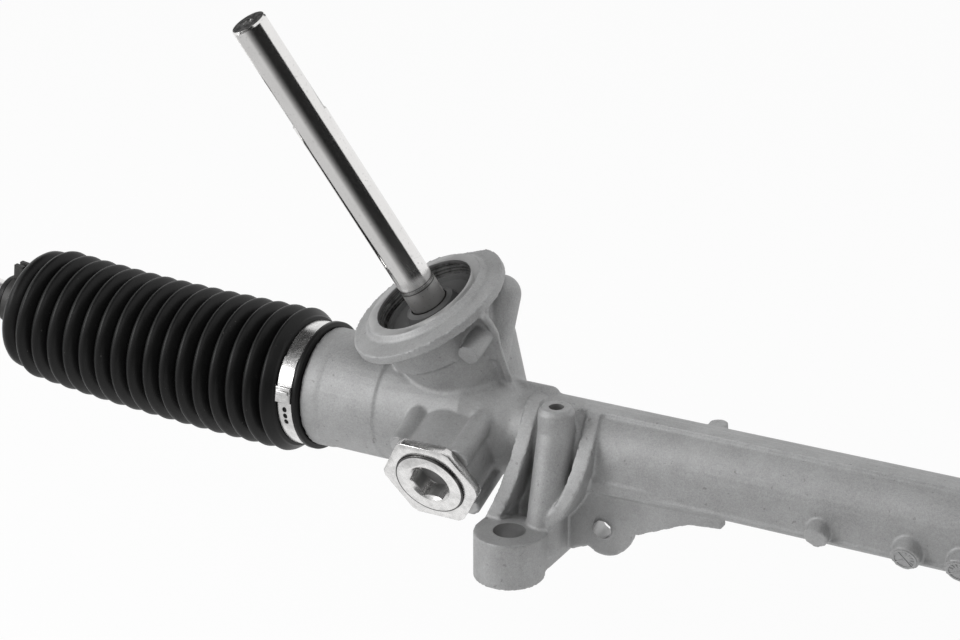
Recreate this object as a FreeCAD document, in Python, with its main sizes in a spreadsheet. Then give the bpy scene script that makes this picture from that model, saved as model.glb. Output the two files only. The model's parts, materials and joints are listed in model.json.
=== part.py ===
import FreeCAD, Part
import math
import os
import re
import Sketcher
from FreeCAD import Placement, Rotation, Vector

# Manual rack-and-pinion steering gear, in millimetres.
# Origin: midway between the two mounting bolts, on the lugs' lower faces.
# X runs along the rack, Y away from the yoke barrel, Z up along the bolts.

sizes = {
    # mounting and position of the rack
    "mount_spacing": 360.0,
    "rack_setback": 42.5,
    "rack_height": 48.6,
    "crossing_offset": 40.5,  # from the left bolt to the pinion crossing
    "tower_lean": 21.4,  # degrees, pinion axis from square to the rack
    "tower_roll": 21.5,  # degrees, pinion and yoke rolled about the rack
    # rack and pinion teeth
    "tooth_module": 2.0,
    "tooth_count": 7,
    "pressure_angle": 20.0,
    "profile_shift": 0.5,
    "tip_trim": 0.32,
    "tooth_backlash": 0.16,
    "rack_tooth_count": 28,
    "rack_tip_height": 8.6,  # rack axis to the tooth tips
    "rack_diameter": 24.0,
    "rack_travel": 72.0,  # each way from the middle
    "lock_clearance": 1.0,  # left between ball joint and housing at full travel
    "pinion_face": 28.0,
    # input shaft
    "shaft_diameter": 16.5,
    "shaft_top": 205.5,  # along the pinion axis from the crossing
    "shaft_chamfer": 1.2,
    "flat_length": 48.5,
    "flat_depth": 0.5,
    "seat_diameter": 18.0,
    "seal_journal_diameter": 17.8,
    "journal_diameter": 11.0,
    "journal_top": -15.5,
    "journal_bottom": -29.0,
    # housing
    "housing_length": 624.0,
    "sleeve_diameter": 53.6,
    "sleeve_gap": 37.0,  # from the left sleeve to the crossing
    "boot_seat_diameter": 51.0,
    "boot_seat_length": 17.0,
    "socket_bore_diameter": 44.0,
    "socket_bore_depth": 5.0,
    "bore_diameter": 25.4,
    "tube_diameter": 36.8,
    "shoulder_diameter": 52.4,
    "shoulder_left": 42.0,
    "shoulder_right": 4.0,
    "shoulder_taper": 22.0,
    "strip_height": 18.9,  # rack axis to the flat strip along the tube's top
    "strip_reach": 6.8,
    "lip_top": 10.6,  # lip along the tube's lower front, below the rack axis
    "lip_bottom": 11.6,
    "lip_depth": 0.7,
    "bead_top": 7.0,  # bead between the bracket and the middle of the tube
    "bead_bottom": 14.8,
    "bead_depth": 1.5,
    "bead_fade": 0.6,  # the bead's far end below the tube's front
    "bead_end": 127.0,  # from the crossing
    "panel_start": 56.0,
    "panel_length": 289.0,
    "flare_length": 27.0,
    "top_pad_diameter": 8.2,
    "top_pad_height": 16.2,  # above the rack axis
    "ridge_diameter": 9.2,
    "ridge_length": 36.0,
    "ridge_rise": 2.2,
    "right_sleeve_length": 74.0,
    "tower_diameter": 56.0,
    "tower_neck_diameter": 52.0,
    "tower_waist_diameter": 34.0,
    "tower_waist": -6.0,  # along the pinion axis from the crossing
    "tower_neck_foot": 22.0,
    "tower_step": 36.0,
    "tower_foot": -34.0,
    "foot_diameter": 34.0,
    "flange_height": 59.1,
    "flange_thickness": 4.2,
    "flange_margin": 7.2,  # oval edge beyond the rim
    "flange_back": 1.6,  # straight edge behind, beyond the rim
    "web_reach": 10.0,
    "web_thickness": 3.6,
    "tower_stub_diameter": 9.8,
    "tower_stub_length": 18.0,
    "tower_boss_diameter": 17.2,
    "tower_boss_length": 29.0,
    "rim_height": 2.4,
    "rim_diameter": 60.0,
    "recess_diameter": 47.0,
    "recess_depth": 7.6,
    "barrel_diameter": 40.0,
    "barrel_side": 35.0,
    "barrel_bead_radius": 5.4,
    "barrel_bead_inset": 3.4,
    "barrel_mouth": 38.6,
    "lug_diameter": 31.0,
    "lug_height": 21.0,
    "bolt_hole_diameter": 14.2,
    "rib_thickness": 6.8,
    "rib_top_span": 34.5,
    "rib_shift": 7.5,  # ribs' middle to the right of the bolt
    "pocket_wall": 5.0,
    "pocket_depth": 11.5,  # from the rack axis to the pocket's back wall
    "boss_diameter": 16.0,
    "boss_height": 23.0,
    "boss_lean": 13.0,  # the boss's foot towards the lug
    "boss_hole_diameter": 6.6,
    "boss_hole_depth": 15.0,
    "gusset_thickness": 5.0,
    "gusset_hole_diameter": 8.4,
    "gusset_ear_diameter": 26.4,
    "gusset_start": 50.0,  # from the crossing
    "gusset_drop": 14.2,  # rack axis to the gusset's lower right corner
    "gusset_foot": 3.0,  # above the lug's lower face
    "stub_diameter": 12.2,
    "small_stub_diameter": 10.2,
    "stub_reach": 24.6,
    # yoke
    "yoke_diameter": 30.0,
    "yoke_length": 22.0,
    "yoke_clearance": 0.06,
    "pad_thickness": 1.2,
    "running_clearance": 0.05,
    "plug_diameter": 32.4,
    "plug_inner_face": 29.0,
    "plug_face": 43.8,
    "hex_socket": 17.0,
    "hex_socket_depth": 9.0,
    "hex_entry_diameter": 20.4,
    "hex_entry_depth": 1.8,
    "nut_across_flats": 41.5,
    "nut_corner_diameter": 46.0,
    "nut_thickness": 4.2,
    "spring_wire": 2.6,
    "spring_diameter": 13.0,
    "spring_turns": 3.0,
    # bearings and seal
    "bearing_bottom": 23.0,
    "bearing_width": 12.0,
    "bearing_diameter": 40.0,
    "ball_diameter": 6.8,
    "ball_count": 7,
    "circlip_thickness": 1.6,
    "needle_diameter": 2.5,
    "needle_count": 12,
    "cup_wall": 1.0,
    "seal_diameter": 44.0,
    "seal_height": 7.0,
    # ball joints and tie rods
    "washer_thickness": 3.0,
    "socket_diameter": 34.0,
    "socket_length": 30.0,
    "ball_reach": 24.0,  # from the socket's inner face to the ball's centre
    "joint_ball_diameter": 22.0,
    "seat_wall": 2.2,
    "seat_mouth": 4.2,  # from the ball's centre to the seat's mouth
    "neck_diameter": 11.6,
    "rod_diameter": 14.0,
    "rod_length": 230.0,
    "rod_thread_length": 62.0,
    "rod_rest_angle": 7.5,
    "rod_nut_flats": 22.0,
    "rod_nut_height": 8.0,
    # boots and clamps
    "lip_clearance": 0.1,  # between the boot's large lip and the sleeve's step
    "boot_lip_wall": 4.2,
    "boot_lip_width": 2.8,
    "band_groove_depth": 1.6,
    "band_clearance": 0.3,  # each side of the band in its groove
    "boot_ridge_diameter": 67.0,  # at the collar
    "boot_end_diameter": 63.6,  # at the neck end
    "boot_valley_diameter": 52.0,
    "boot_wall": 1.5,
    "ridge_count": 16,
    "ridge_pitch": 9.35,
    "first_ridge": 24.0,  # from the lip to the first ridge
    "boot_neck_diameter": 22.0,
    "boot_neck_length": 16.0,
    "neck_clearance": 0.5,
    "band_width": 7.6,
    "band_thickness": 0.8,
    "buckle_length": 9.0,
    "buckle_height": 2.0,
    "buckle_angle": 80.0,  # from the top, towards the yoke
    "rod_clamp_wire": 2.2,
    "rod_clamp_width": 5.0,
    "rod_clamp_ear": 9.0,
    # far end bush
    "bush_length": 26.0,
    "bush_wall": 3.4,
}

document = FreeCAD.newDocument("steering_rack")
sheet = document.addObject("Spreadsheet::Sheet", "Sizes")
for line, (alias, number) in enumerate(sizes.items(), start=1):
    sheet.set("A%d" % line, alias)
    sheet.set("B%d" % line, str(number))
    sheet.setAlias("B%d" % line, alias)
document.recompute()


def size(alias):
    return float(sheet.get(alias))


def formula(text):
    # Puts the sheet's name before each word that is one of its aliases.
    return re.sub(r"[a-z][a-z_]+", lambda word: "Sizes." + word.group() if word.group() in sizes
                  else word.group(), text)


half_housing = size("housing_length") / 2
half_rack = half_housing + size("rack_travel") - size("socket_bore_depth") + size("lock_clearance")
ball_centre = half_rack + size("washer_thickness") + size("ball_reach")

# Frames. The yoke frame sits at the crossing: x along the rack, y along the rack's teeth, z to the
# yoke. The pinion frame's z is the pinion axis and its y points away from the yoke.
rack_axis = Vector(0, size("rack_setback"), size("rack_height"))
crossing = Vector(-size("mount_spacing") / 2 - size("crossing_offset"), rack_axis.y, rack_axis.z)
pitch_radius = size("tooth_count") * size("tooth_module") / 2 / math.cos(math.radians(size("tower_lean")))
addendum = size("tooth_module")
tip_radius = pitch_radius + addendum * (1 + size("profile_shift")) - size("tip_trim")
root_radius = pitch_radius - addendum * (1.25 - size("profile_shift"))
reference_radius = pitch_radius + addendum * size("profile_shift")
centre_distance = reference_radius - addendum + size("rack_tip_height")
yoke_frame = Placement(crossing, Rotation(Vector(1, 0, 0), 90 + size("tower_roll")))
lean = Placement(Vector(0, 0, -centre_distance), Rotation(Vector(0, 0, 1), size("tower_lean")))
pinion_frame = yoke_frame * lean * Placement(Vector(), Rotation(Vector(1, 0, 0), -90))
along_x = Rotation(Vector(0, 1, 0), 90)


def on_rack(start, y=0.0, z=0.0):
    return Placement(rack_axis + Vector(start, y, z), along_x)


def on_pinion(height, x=0.0, y=0.0):
    return pinion_frame * Placement(Vector(x, y, height), Rotation())


def on_yoke(height, x=0.0, y=0.0):
    return yoke_frame * Placement(Vector(x, y, height), Rotation())


def bound(kind, label, place, **formulas):
    item = document.addObject(kind, label)
    for name, text in formulas.items():
        item.setExpression(name, formula(text))
    item.Placement = place
    return item


def cylinder(label, radius, height, place):
    return bound("Part::Cylinder", label, place, Radius=radius, Height=height)


def cone(label, radius, top_radius, height, place):
    return bound("Part::Cone", label, place, Radius1=radius, Radius2=top_radius, Height=height)


def box(label, length, width, height, place):
    return bound("Part::Box", label, place, Length=length, Width=width, Height=height)


def feature(label, shape, place=None):
    item = document.addObject("Part::Feature", label)
    item.Shape = shape
    if place:
        item.Placement = place
    return item


def fused(label, pieces):
    item = document.addObject("Part::MultiFuse", label)
    item.Shapes = pieces
    return item


def cut(label, base, tool):
    item = document.addObject("Part::Cut", label)
    item.Base = base
    item.Tool = tool
    return item


def outline(points):
    # A closed face: each point is a corner, and a pair of points is the middle and end of an arc.
    edges = []
    last = points[0]
    for point in points[1:] + [points[0]]:
        if isinstance(point, tuple):
            edges.append(Part.Arc(last, point[0], point[1]).toShape())
            last = point[1]
        elif not point.isEqual(last, 1e-6):
            edges.append(Part.LineSegment(last, point).toShape())
            last = point
    return Part.Face(Part.Wire(edges))


def turned(points, centre=Vector(), axis=Vector(0, 0, 1)):
    return outline(points).revolve(centre, axis, 360)


def ring_profile(inner, outer, bottom, top):
    return [Vector(inner, 0, bottom), Vector(outer, 0, bottom), Vector(outer, 0, top), Vector(inner, 0, top)]


def in_tower(x, y, z):
    return crossing + Vector(x, y, z)


nodes = []


def keep(item, label):
    item.Label = label
    nodes.append(item)
    return item


# Housing: outer forms of the casting.
seat_end = half_housing - size("boot_seat_length")
boot_lip = seat_end + size("lip_clearance")


def sleeve_forms():
    left = cylinder("left_sleeve", "sleeve_diameter / 2",
                    "housing_length / 2 - boot_seat_length - mount_spacing / 2 - crossing_offset - sleeve_gap",
                    on_rack(-seat_end))
    left_seat = cylinder("left_seat", "boot_seat_diameter / 2", "boot_seat_length + 1", on_rack(-half_housing))
    shoulder = cylinder("shoulder", "shoulder_diameter / 2", "shoulder_left + shoulder_right",
                        on_rack(crossing.x - size("shoulder_left")))
    taper = cone("shoulder_taper", "shoulder_diameter / 2", "tube_diameter / 2", "shoulder_taper",
                 on_rack(crossing.x + size("shoulder_right")))
    right_start = half_housing - size("right_sleeve_length")
    right = cylinder("right_sleeve", "sleeve_diameter / 2", "right_sleeve_length - boot_seat_length",
                     on_rack(right_start))
    right_seat = cylinder("right_seat", "boot_seat_diameter / 2", "boot_seat_length + 1",
                          on_rack(seat_end - 1))
    flare = cone("right_flare", "tube_diameter / 2", "sleeve_diameter / 2", "flare_length",
                 on_rack(right_start - size("flare_length")))
    tube = cylinder("tube", "tube_diameter / 2", "housing_length - 2 * boot_seat_length", on_rack(-seat_end))
    return [left, left_seat, shoulder, taper, right, right_seat, flare, tube]


web_back = -9.8  # in the pinion frame
tower_stub_place = (-9, 11.2, 47.5)  # height, x and y in the yoke frame
tower_boss_foot = in_tower(9.0, -3.0, 30.9)
tower_boss_lean = -25.0


def tower_forms():
    # The flange is an oval disc, cut straight behind, with a raised rim around the recess.
    top = size("flange_height") - size("rim_height")
    under = top - size("flange_thickness")
    upper = cylinder("tower_upper", "tower_diameter / 2",
                     "flange_height - rim_height - tower_step", on_pinion(size("tower_step")))
    neck = cylinder("tower_neck", "tower_neck_diameter / 2", "tower_step - tower_neck_foot",
                    on_pinion(size("tower_neck_foot")))
    waist = cone("tower_waist", "tower_waist_diameter / 2", "tower_neck_diameter / 2",
                 "tower_neck_foot - tower_waist", on_pinion(size("tower_waist")))
    foot = cylinder("tower_foot_form", "foot_diameter / 2", "0 - tower_foot", on_pinion(size("tower_foot")))
    rim = cone("rim", "rim_diameter / 2", "rim_diameter / 2 - 2", "rim_height", on_pinion(top))
    oval_radius = size("rim_diameter") / 2 + size("flange_margin")
    oval = Part.makeCylinder(oval_radius, size("flange_thickness"), Vector(2, -2.8, under))
    edge_behind = size("rim_diameter") / 2 + size("flange_back")
    back = Part.makeBox(4 * oval_radius, 2 * oval_radius, size("flange_thickness"),
                        Vector(-2 * oval_radius, edge_behind, under))
    disc = Part.makeCylinder(size("rim_diameter") / 2 + 1, size("flange_thickness"), Vector(0, 0, under))
    flange = feature("flange", oval.cut(back).fuse(disc).removeSplitter(), pinion_frame)
    # Web from the flange's underside to the body, with the round stub and the domed boss beside it.
    wall = size("tower_diameter") / 2
    web_points = [Vector(0, 0, under + 1), Vector(wall + size("web_reach"), 0, under + 1),
                  (Vector(wall + 1.5, 0, 36), Vector(wall - 2, 0, 18)), Vector(wall - 8, 0, 2), Vector(0, 0, 2)]
    web = feature("tower_web", outline(web_points).extrude(Vector(0, size("web_thickness"), 0)),
                  on_pinion(0, 0, web_back))
    stub = cylinder("tower_stub", "tower_stub_diameter / 2", "tower_stub_length", on_yoke(*tower_stub_place))
    turn = Rotation(Vector(1, 0, 0), tower_boss_lean)
    boss = cylinder("tower_boss", "tower_boss_diameter / 2", "tower_boss_length", Placement(tower_boss_foot, turn))
    end = tower_boss_foot + turn.multVec(Vector(0, 0, size("tower_boss_length")))
    dome = bound("Part::Sphere", "tower_boss_dome", Placement(end, Rotation()), Radius="tower_boss_diameter / 2")
    return [upper, neck, waist, foot, rim, flange, web, stub, boss, dome]


def barrel_forms():
    round_form = cylinder("barrel", "barrel_diameter / 2", "barrel_mouth", on_yoke(0))
    side = size("barrel_side")
    square = box("barrel_block", "barrel_side", "barrel_side", "barrel_mouth", on_yoke(0, -side / 2, -side / 2))
    forms = [round_form, square]
    corner = side / 2 - size("barrel_bead_inset")
    for right in (-1, 1):
        for up in (-1, 1):
            place = on_yoke(0, right * corner, up * corner)
            forms.append(cylinder("barrel_bead", "barrel_bead_radius", "barrel_mouth", place))
    return forms


def bracket_forms(mirrored):
    # Lug, two curved ribs that sweep from the tube's top down to it, and the pocket's back wall.
    reach = size("rack_setback")
    radius = size("lug_diameter") / 2
    base = -size("rack_height")
    lug_top = base + size("lug_height")
    span = size("rib_top_span")
    thick = size("rib_thickness")
    deep = size("tube_diameter") / 2
    shift = size("rib_shift")
    bottom = base + 3
    strips = []
    ribs_at = ((shift - span / 2, -radius, 1.0), (shift + span / 2 - thick + 0.8, radius - thick, 1.5))
    for start, foot, bow in ribs_at:
        strip = [Vector(start, 0, deep + 1), (Vector(start + bow, 0, -6), Vector(foot, 0, lug_top)),
                 Vector(foot, 0, bottom), Vector(foot + thick, 0, bottom), Vector(foot + thick, 0, lug_top),
                 (Vector(start + thick + bow, 0, -6), Vector(start + thick, 0, deep + 1))]
        strips.append(outline(strip).extrude(Vector(0, -reach, 0)))
    # Seen from the side, the ribs run down the tube's front and out to the lug.
    side = [Vector(-reach, 0, 0), Vector(-reach, 0, deep), Vector(-reach, -9, deep + 0.6),
            (Vector(-reach, -23.5, 4), Vector(-reach, -reach + 6.5, lug_top)), Vector(-reach, -reach, lug_top),
            Vector(-reach, -reach, bottom), Vector(-reach, -12, bottom)]
    profile = outline(side).extrude(Vector(2 * reach, 0, 0))
    ribs = strips[0].fuse(strips[1]).common(profile)
    wall = Part.makeBox(2 * radius - 4, size("pocket_wall"), -base - 5,
                        Vector(-radius + 2, -size("pocket_depth") - size("pocket_wall"), base + 4))
    lug = Part.makeCylinder(radius, size("lug_height"), Vector(0, -reach, base))
    shape = ribs.fuse([wall, lug])
    place = Placement(rack_axis + Vector(-size("mount_spacing") / 2, 0, 0), Rotation())
    if mirrored:
        shape = shape.mirror(Vector(), Vector(1, 0, 0))
        place = Placement(rack_axis + Vector(size("mount_spacing") / 2, 0, 0), Rotation())
    return feature("right_bracket" if mirrored else "left_bracket", shape, place)


boss_place = Vector(10.0, -19.0, 0)  # from the rack axis above the left bolt
gusset_hole = Vector(73.0, 0, -30.0)  # from the crossing
gusset_front = -17.0
stubs_at = ((170.5, "small_stub_diameter"), (208.5, "stub_diameter"), (231.0, "stub_diameter"))
top_pad_place = (112.0, 12.5, 0.0)
ridge_side = 4.0


def bracket_extras():
    # Vertical screw boss in the pocket, and the gusset between lug and tube with its drilled ear.
    height = size("boss_height")
    radius = size("boss_diameter") / 2
    foot = 3 - size("rack_height") + size("lug_height") / 4
    boss_points = [Vector(0, 0, 0), Vector(radius - 1, 0, 0), Vector(radius, 0, height / 2), Vector(radius, 0, height - 2.2),
                   Vector(radius - 1.6, 0, height), Vector(0, 0, height)]
    above_lug = Vector(-size("mount_spacing") / 2, 0, 0) + rack_axis
    slant = Vector(0, -size("boss_lean"), foot - height / 2)
    leg = Part.makeCylinder(radius, slant.Length, Vector(0, 0, height / 2), slant)
    boss = feature("screw_boss", turned(boss_points).fuse(leg), Placement(above_lug + boss_place, Rotation()))
    start = size("gusset_start")
    end = size("bead_end")
    low = size("gusset_foot") - size("rack_height")
    ear = size("gusset_ear_diameter") / 2
    slope_start = gusset_hole + Vector(ear * math.cos(math.radians(5)), 0, -ear * math.sin(math.radians(5)))
    slope_end = Vector(end - 15, 0, -size("gusset_drop") - 5.3)
    edge = [Vector(start, 0, low), Vector(start + 9, 0, low + 2.2), slope_start,
            slope_end, Vector(end, 0, -size("gusset_drop") - 3.8), Vector(end, 0, -size("bead_top")),
            Vector(start, 0, -size("bead_top"))]
    plate = outline(edge).extrude(Vector(0, size("gusset_thickness"), 0))
    disc = Part.makeCylinder(ear, size("gusset_thickness"), gusset_hole, Vector(0, 1, 0))
    gusset = feature("gusset", plate.fuse(disc).removeSplitter(), Placement(in_tower(0, gusset_front, 0), Rotation()))
    return [boss, gusset]


def tube_forms():
    # Flat strip along the top and a lip along the lower front; a bead joins the bracket to the lip.
    deep = size("tube_diameter") / 2
    reach = size("strip_reach")
    high = size("strip_height")
    lip_top = size("lip_top")
    lip_bottom = size("lip_bottom")
    front = deep + size("lip_depth")
    strip = [Vector(0, 0, 0), Vector(0, 0, high), Vector(0, -reach, high), Vector(0, -reach - 1, 0)]
    lip = [Vector(0, 0, -2), Vector(0, -deep, -2), Vector(0, -deep, 1 - lip_top), Vector(0, -front, -lip_top),
           Vector(0, -front, -lip_bottom), Vector(0, -deep + 1, -lip_bottom - 1.6), Vector(0, 0, -lip_bottom - 3)]
    bead_top = size("bead_top")
    bead_bottom = size("bead_bottom")
    start = size("panel_start")
    place = Placement(in_tower(start, 0, 0), Rotation())
    forms = []
    for name, points in (("strip", strip), ("lip", lip)):
        forms.append(feature("tube_" + name, outline(points).extrude(Vector(size("panel_length"), 0, 0)), place))
    # The bead fades into the tube towards its far end.
    sections = []
    for x, proud in ((0, deep + size("bead_depth")), (size("bead_end") - start, deep - size("bead_fade"))):
        section = [Vector(x, 0, 3 - bead_top), Vector(x, 1 - deep, 2 - bead_top), Vector(x, -proud, -bead_top - 1),
                   Vector(x, -proud, 2 - bead_bottom), Vector(x, 2 - deep, -bead_bottom), Vector(x, 0, -bead_bottom)]
        sections.append(outline(section).OuterWire)
    forms.append(feature("tube_bead", Part.makeLoft(sections, True, True), place))
    for x, diameter in stubs_at:
        forms.append(cylinder("tube_stub", diameter + " / 2", "stub_reach", on_yoke(0, x)))
    forms.append(cylinder("top_pad", "top_pad_diameter / 2", "top_pad_height",
                          Placement(in_tower(*top_pad_place), Rotation())))
    # Round-ended ridge along the top, from the tower to the bracket.
    ridge_height = deep - size("ridge_diameter") / 2 + size("ridge_rise")
    forms.append(cylinder("ridge", "ridge_diameter / 2", "ridge_length",
                          on_rack(crossing.x, ridge_side, ridge_height)))
    forms.append(bound("Part::Sphere", "ridge_end",
                       Placement(in_tower(size("ridge_length"), ridge_side, ridge_height), Rotation()),
                       Radius="ridge_diameter / 2"))
    return forms


def housing_bores():
    bush_outer = size("bore_diameter") / 2 + size("bush_wall")
    floor = half_housing - size("socket_bore_depth")
    tools = [cylinder("rack_bore", "bore_diameter / 2", "housing_length + 2", on_rack(-half_housing - 1)),
             cylinder("left_counterbore", "socket_bore_diameter / 2", "socket_bore_depth + 1",
                      on_rack(-half_housing - 1)),
             cylinder("right_counterbore", "socket_bore_diameter / 2", "socket_bore_depth + 1", on_rack(floor)),
             cylinder("bush_bore", str(bush_outer), "bush_length + 1", on_rack(floor - size("bush_length"))),
             cylinder("gear_bore", str(tip_radius + 0.9), "bearing_bottom - journal_top + 1",
                      on_pinion(size("journal_top") - 0.5)),
             cylinder("needle_bore", str(cup_radius), "journal_top - journal_bottom + 0.6",
                      on_pinion(size("journal_bottom") - 0.5)),
             cylinder("bearing_bore", "bearing_diameter / 2",
                      "flange_height - bearing_bottom", on_pinion(size("bearing_bottom"))),
             cylinder("seal_bore", "seal_diameter / 2", "seal_height + 5",
                      on_pinion(seal_bottom)),
             cylinder("recess", "recess_diameter / 2", "recess_depth + 1",
                      on_pinion(size("flange_height") - size("recess_depth"))),
             cylinder("yoke_bore", "yoke_diameter / 2", "plug_inner_face", on_yoke(0)),
             cylinder("plug_bore", "plug_diameter / 2", "barrel_mouth - plug_inner_face + 1",
                      on_yoke(size("plug_inner_face"))),
             cylinder("left_bolt_hole", "bolt_hole_diameter / 2", "lug_height + 2",
                      Placement(Vector(-size("mount_spacing") / 2, 0, -1), Rotation())),
             cylinder("right_bolt_hole", "bolt_hole_diameter / 2", "lug_height + 2",
                      Placement(Vector(size("mount_spacing") / 2, 0, -1), Rotation())),
             cylinder("gusset_bore", "gusset_hole_diameter / 2", "gusset_thickness + 4",
                      Placement(in_tower(gusset_hole.x, gusset_front - 2 + size("gusset_thickness") + 4,
                                         gusset_hole.z), Rotation(Vector(1, 0, 0), 90))),
             cylinder("screw_hole", "boss_hole_diameter / 2", "boss_hole_depth + 1",
                      Placement(crossing + Vector(size("crossing_offset"), 0, 0) + boss_place
                                + Vector(0, 0, size("boss_height") - size("boss_hole_depth")), Rotation()))]
    return tools


cup_radius = size("journal_diameter") / 2 + size("needle_diameter") + size("cup_wall")
seal_bottom = size("flange_height") - size("recess_depth") - size("seal_height") + 1.0
outer_forms = sleeve_forms() + tower_forms() + barrel_forms() + tube_forms()
outer_forms += [bracket_forms(False), bracket_forms(True)] + bracket_extras()
casting = fused("casting", outer_forms)
keep(cut("housing", casting, fused("bores", housing_bores())), "rack_housing")


# Rack: round bar with a flat and straight teeth across it.
def rack_shape():
    radius = size("rack_diameter") / 2
    pitch = math.pi * size("tooth_module")
    slope = math.tan(math.radians(size("pressure_angle")))
    tip = -size("rack_tip_height")
    root = tip + 2.25 * addendum
    half_gap = pitch / 4 + size("tooth_backlash") / 4
    at_tip = half_gap + addendum * slope
    at_root = half_gap - 1.25 * addendum * slope
    count = int(size("rack_tooth_count"))
    bar = Part.makeCylinder(radius, 2 * half_rack, Vector(-half_rack - crossing.x, 0, 0), Vector(1, 0, 0))
    length = (count - 1) * pitch + 2 * at_tip
    flat = Part.makeBox(length, 2 * radius, radius, Vector(-length / 2, -radius, tip - radius))
    gaps = []
    for index in range(count):
        middle = (index - (count - 1) / 2) * pitch
        gap = [Vector(middle - at_tip, -radius, tip - 0.01), Vector(middle + at_tip, -radius, tip - 0.01),
               Vector(middle + at_root, -radius, root), Vector(middle - at_root, -radius, root)]
        gaps.append(outline(gap).extrude(Vector(0, 2 * radius, 0)))
    return bar.cut(flat).cut(Part.makeCompound(gaps))


keep(feature("rack", rack_shape(), yoke_frame), "rack_bar")


# Pinion: helical teeth with involute flanks, cut in one piece with the input shaft.
def pinion_teeth():
    lean_angle = math.radians(size("tower_lean"))
    face_angle = math.atan(math.tan(math.radians(size("pressure_angle"))) / math.cos(lean_angle))
    base_radius = pitch_radius * math.cos(face_angle)
    shift = 2 * size("profile_shift") * addendum * math.tan(math.radians(size("pressure_angle")))
    thickness = (math.pi * addendum / 2 + shift - size("tooth_backlash") / 2) / math.cos(lean_angle)
    half_angle = thickness / 2 / pitch_radius

    def involute(angle):
        return math.tan(angle) - angle

    def flank_point(radius, side, middle):
        pressure = math.acos(min(1.0, base_radius / radius))
        turn = middle + side * (half_angle + involute(face_angle) - involute(pressure))
        return Vector(radius * math.cos(turn), radius * math.sin(turn), 0)

    count = int(size("tooth_count"))
    pitch_angle = 2 * math.pi / count
    radii = [base_radius + (tip_radius - base_radius) * step / 3 for step in range(4)]
    # A gap faces the rack's tooth, so the first tooth stands in the rack's middle gap.
    gap_in_middle = int(size("rack_tooth_count")) % 2 == 0
    first = -math.pi / 2 + (pitch_angle / 2 if gap_in_middle else 0)
    edges = []
    for index in range(count):
        middle = first + index * pitch_angle
        rising = [flank_point(radius, -1, middle) for radius in radii]
        falling = [flank_point(radius, 1, middle) for radius in reversed(radii)]
        foot = Vector(rising[0]).normalize() * root_radius
        heel = Vector(falling[-1]).normalize() * root_radius
        following = flank_point(base_radius, -1, middle + pitch_angle)
        next_foot = Vector(following).normalize() * root_radius
        edges.append(Part.LineSegment(foot, rising[0]).toShape())
        curve = Part.BSplineCurve()
        curve.interpolate(rising)
        edges.append(curve.toShape())
        crown = Vector(math.cos(middle), math.sin(middle), 0) * tip_radius
        edges.append(Part.Arc(rising[-1], crown, falling[0]).toShape())
        curve = Part.BSplineCurve()
        curve.interpolate(falling)
        edges.append(curve.toShape())
        edges.append(Part.LineSegment(falling[-1], heel).toShape())
        valley = middle + pitch_angle / 2
        edges.append(Part.Arc(heel, Vector(math.cos(valley), math.sin(valley), 0) * root_radius,
                              next_foot).toShape())
    profile = Part.Wire(edges)
    lead = 2 * math.pi * pitch_radius / math.tan(lean_angle)
    face = size("pinion_face")
    profile.translate(Vector(0, 0, -face / 2))
    profile.rotate(Vector(), Vector(0, 0, 1), -face / 2 / lead * 360)
    spine = Part.Wire(Part.LineSegment(Vector(0, 0, -face / 2), Vector(0, 0, face / 2)).toShape())
    guide = Part.makeHelix(lead, face, pitch_radius)
    guide.translate(Vector(0, 0, -face / 2))
    sweep = Part.BRepOffsetAPI.MakePipeShell(spine)
    sweep.setAuxiliarySpine(guide, True, False)
    sweep.add(profile)
    sweep.build()
    sweep.makeSolid()
    return sweep.shape()


def pinion_shape():
    radius = size("shaft_diameter") / 2
    seat = size("seat_diameter") / 2
    sealed = size("seal_journal_diameter") / 2
    journal = size("journal_diameter") / 2
    top = size("shaft_top")
    chamfer = size("shaft_chamfer")
    bearing_top = size("bearing_bottom") + size("bearing_width")
    face = size("pinion_face") / 2
    profile = [Vector(0, 0, size("journal_bottom")), Vector(journal - 0.8, 0, size("journal_bottom")),
               Vector(journal, 0, size("journal_bottom") + 0.8), Vector(journal, 0, size("journal_top")),
               Vector(root_radius, 0, size("journal_top")), Vector(root_radius, 0, face),
               Vector(tip_radius, 0, face + 3), Vector(tip_radius, 0, size("bearing_bottom")),
               Vector(seat, 0, size("bearing_bottom")), Vector(seat, 0, bearing_top + 3),
               Vector(sealed, 0, bearing_top + 3), Vector(sealed, 0, seal_bottom + size("seal_height") + 3.5),
               Vector(radius, 0, seal_bottom + size("seal_height") + 3.5), Vector(radius, 0, top - chamfer),
               Vector(radius - chamfer, 0, top), Vector(0, 0, top)]
    shaft = turned(profile).fuse(pinion_teeth())
    flats = size("flat_length")
    for side in (-1, 1):
        start = radius - size("flat_depth") if side > 0 else -radius - 5 + size("flat_depth")
        shaft = shaft.cut(Part.makeBox(5, 40, flats, Vector(start, -20, top - flats)))
    groove = Part.makeCylinder(seat + 1, size("circlip_thickness"), Vector(0, 0, bearing_top))
    core = Part.makeCylinder(seat - 0.6, size("circlip_thickness"), Vector(0, 0, bearing_top))
    centre = Part.makeCone(0.4, 3.0, 5.0, Vector(0, 0, top - 5))
    return shaft.cut(groove.cut(core)).cut(centre)


keep(feature("pinion", pinion_shape(), pinion_frame), "pinion_shaft")


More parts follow.
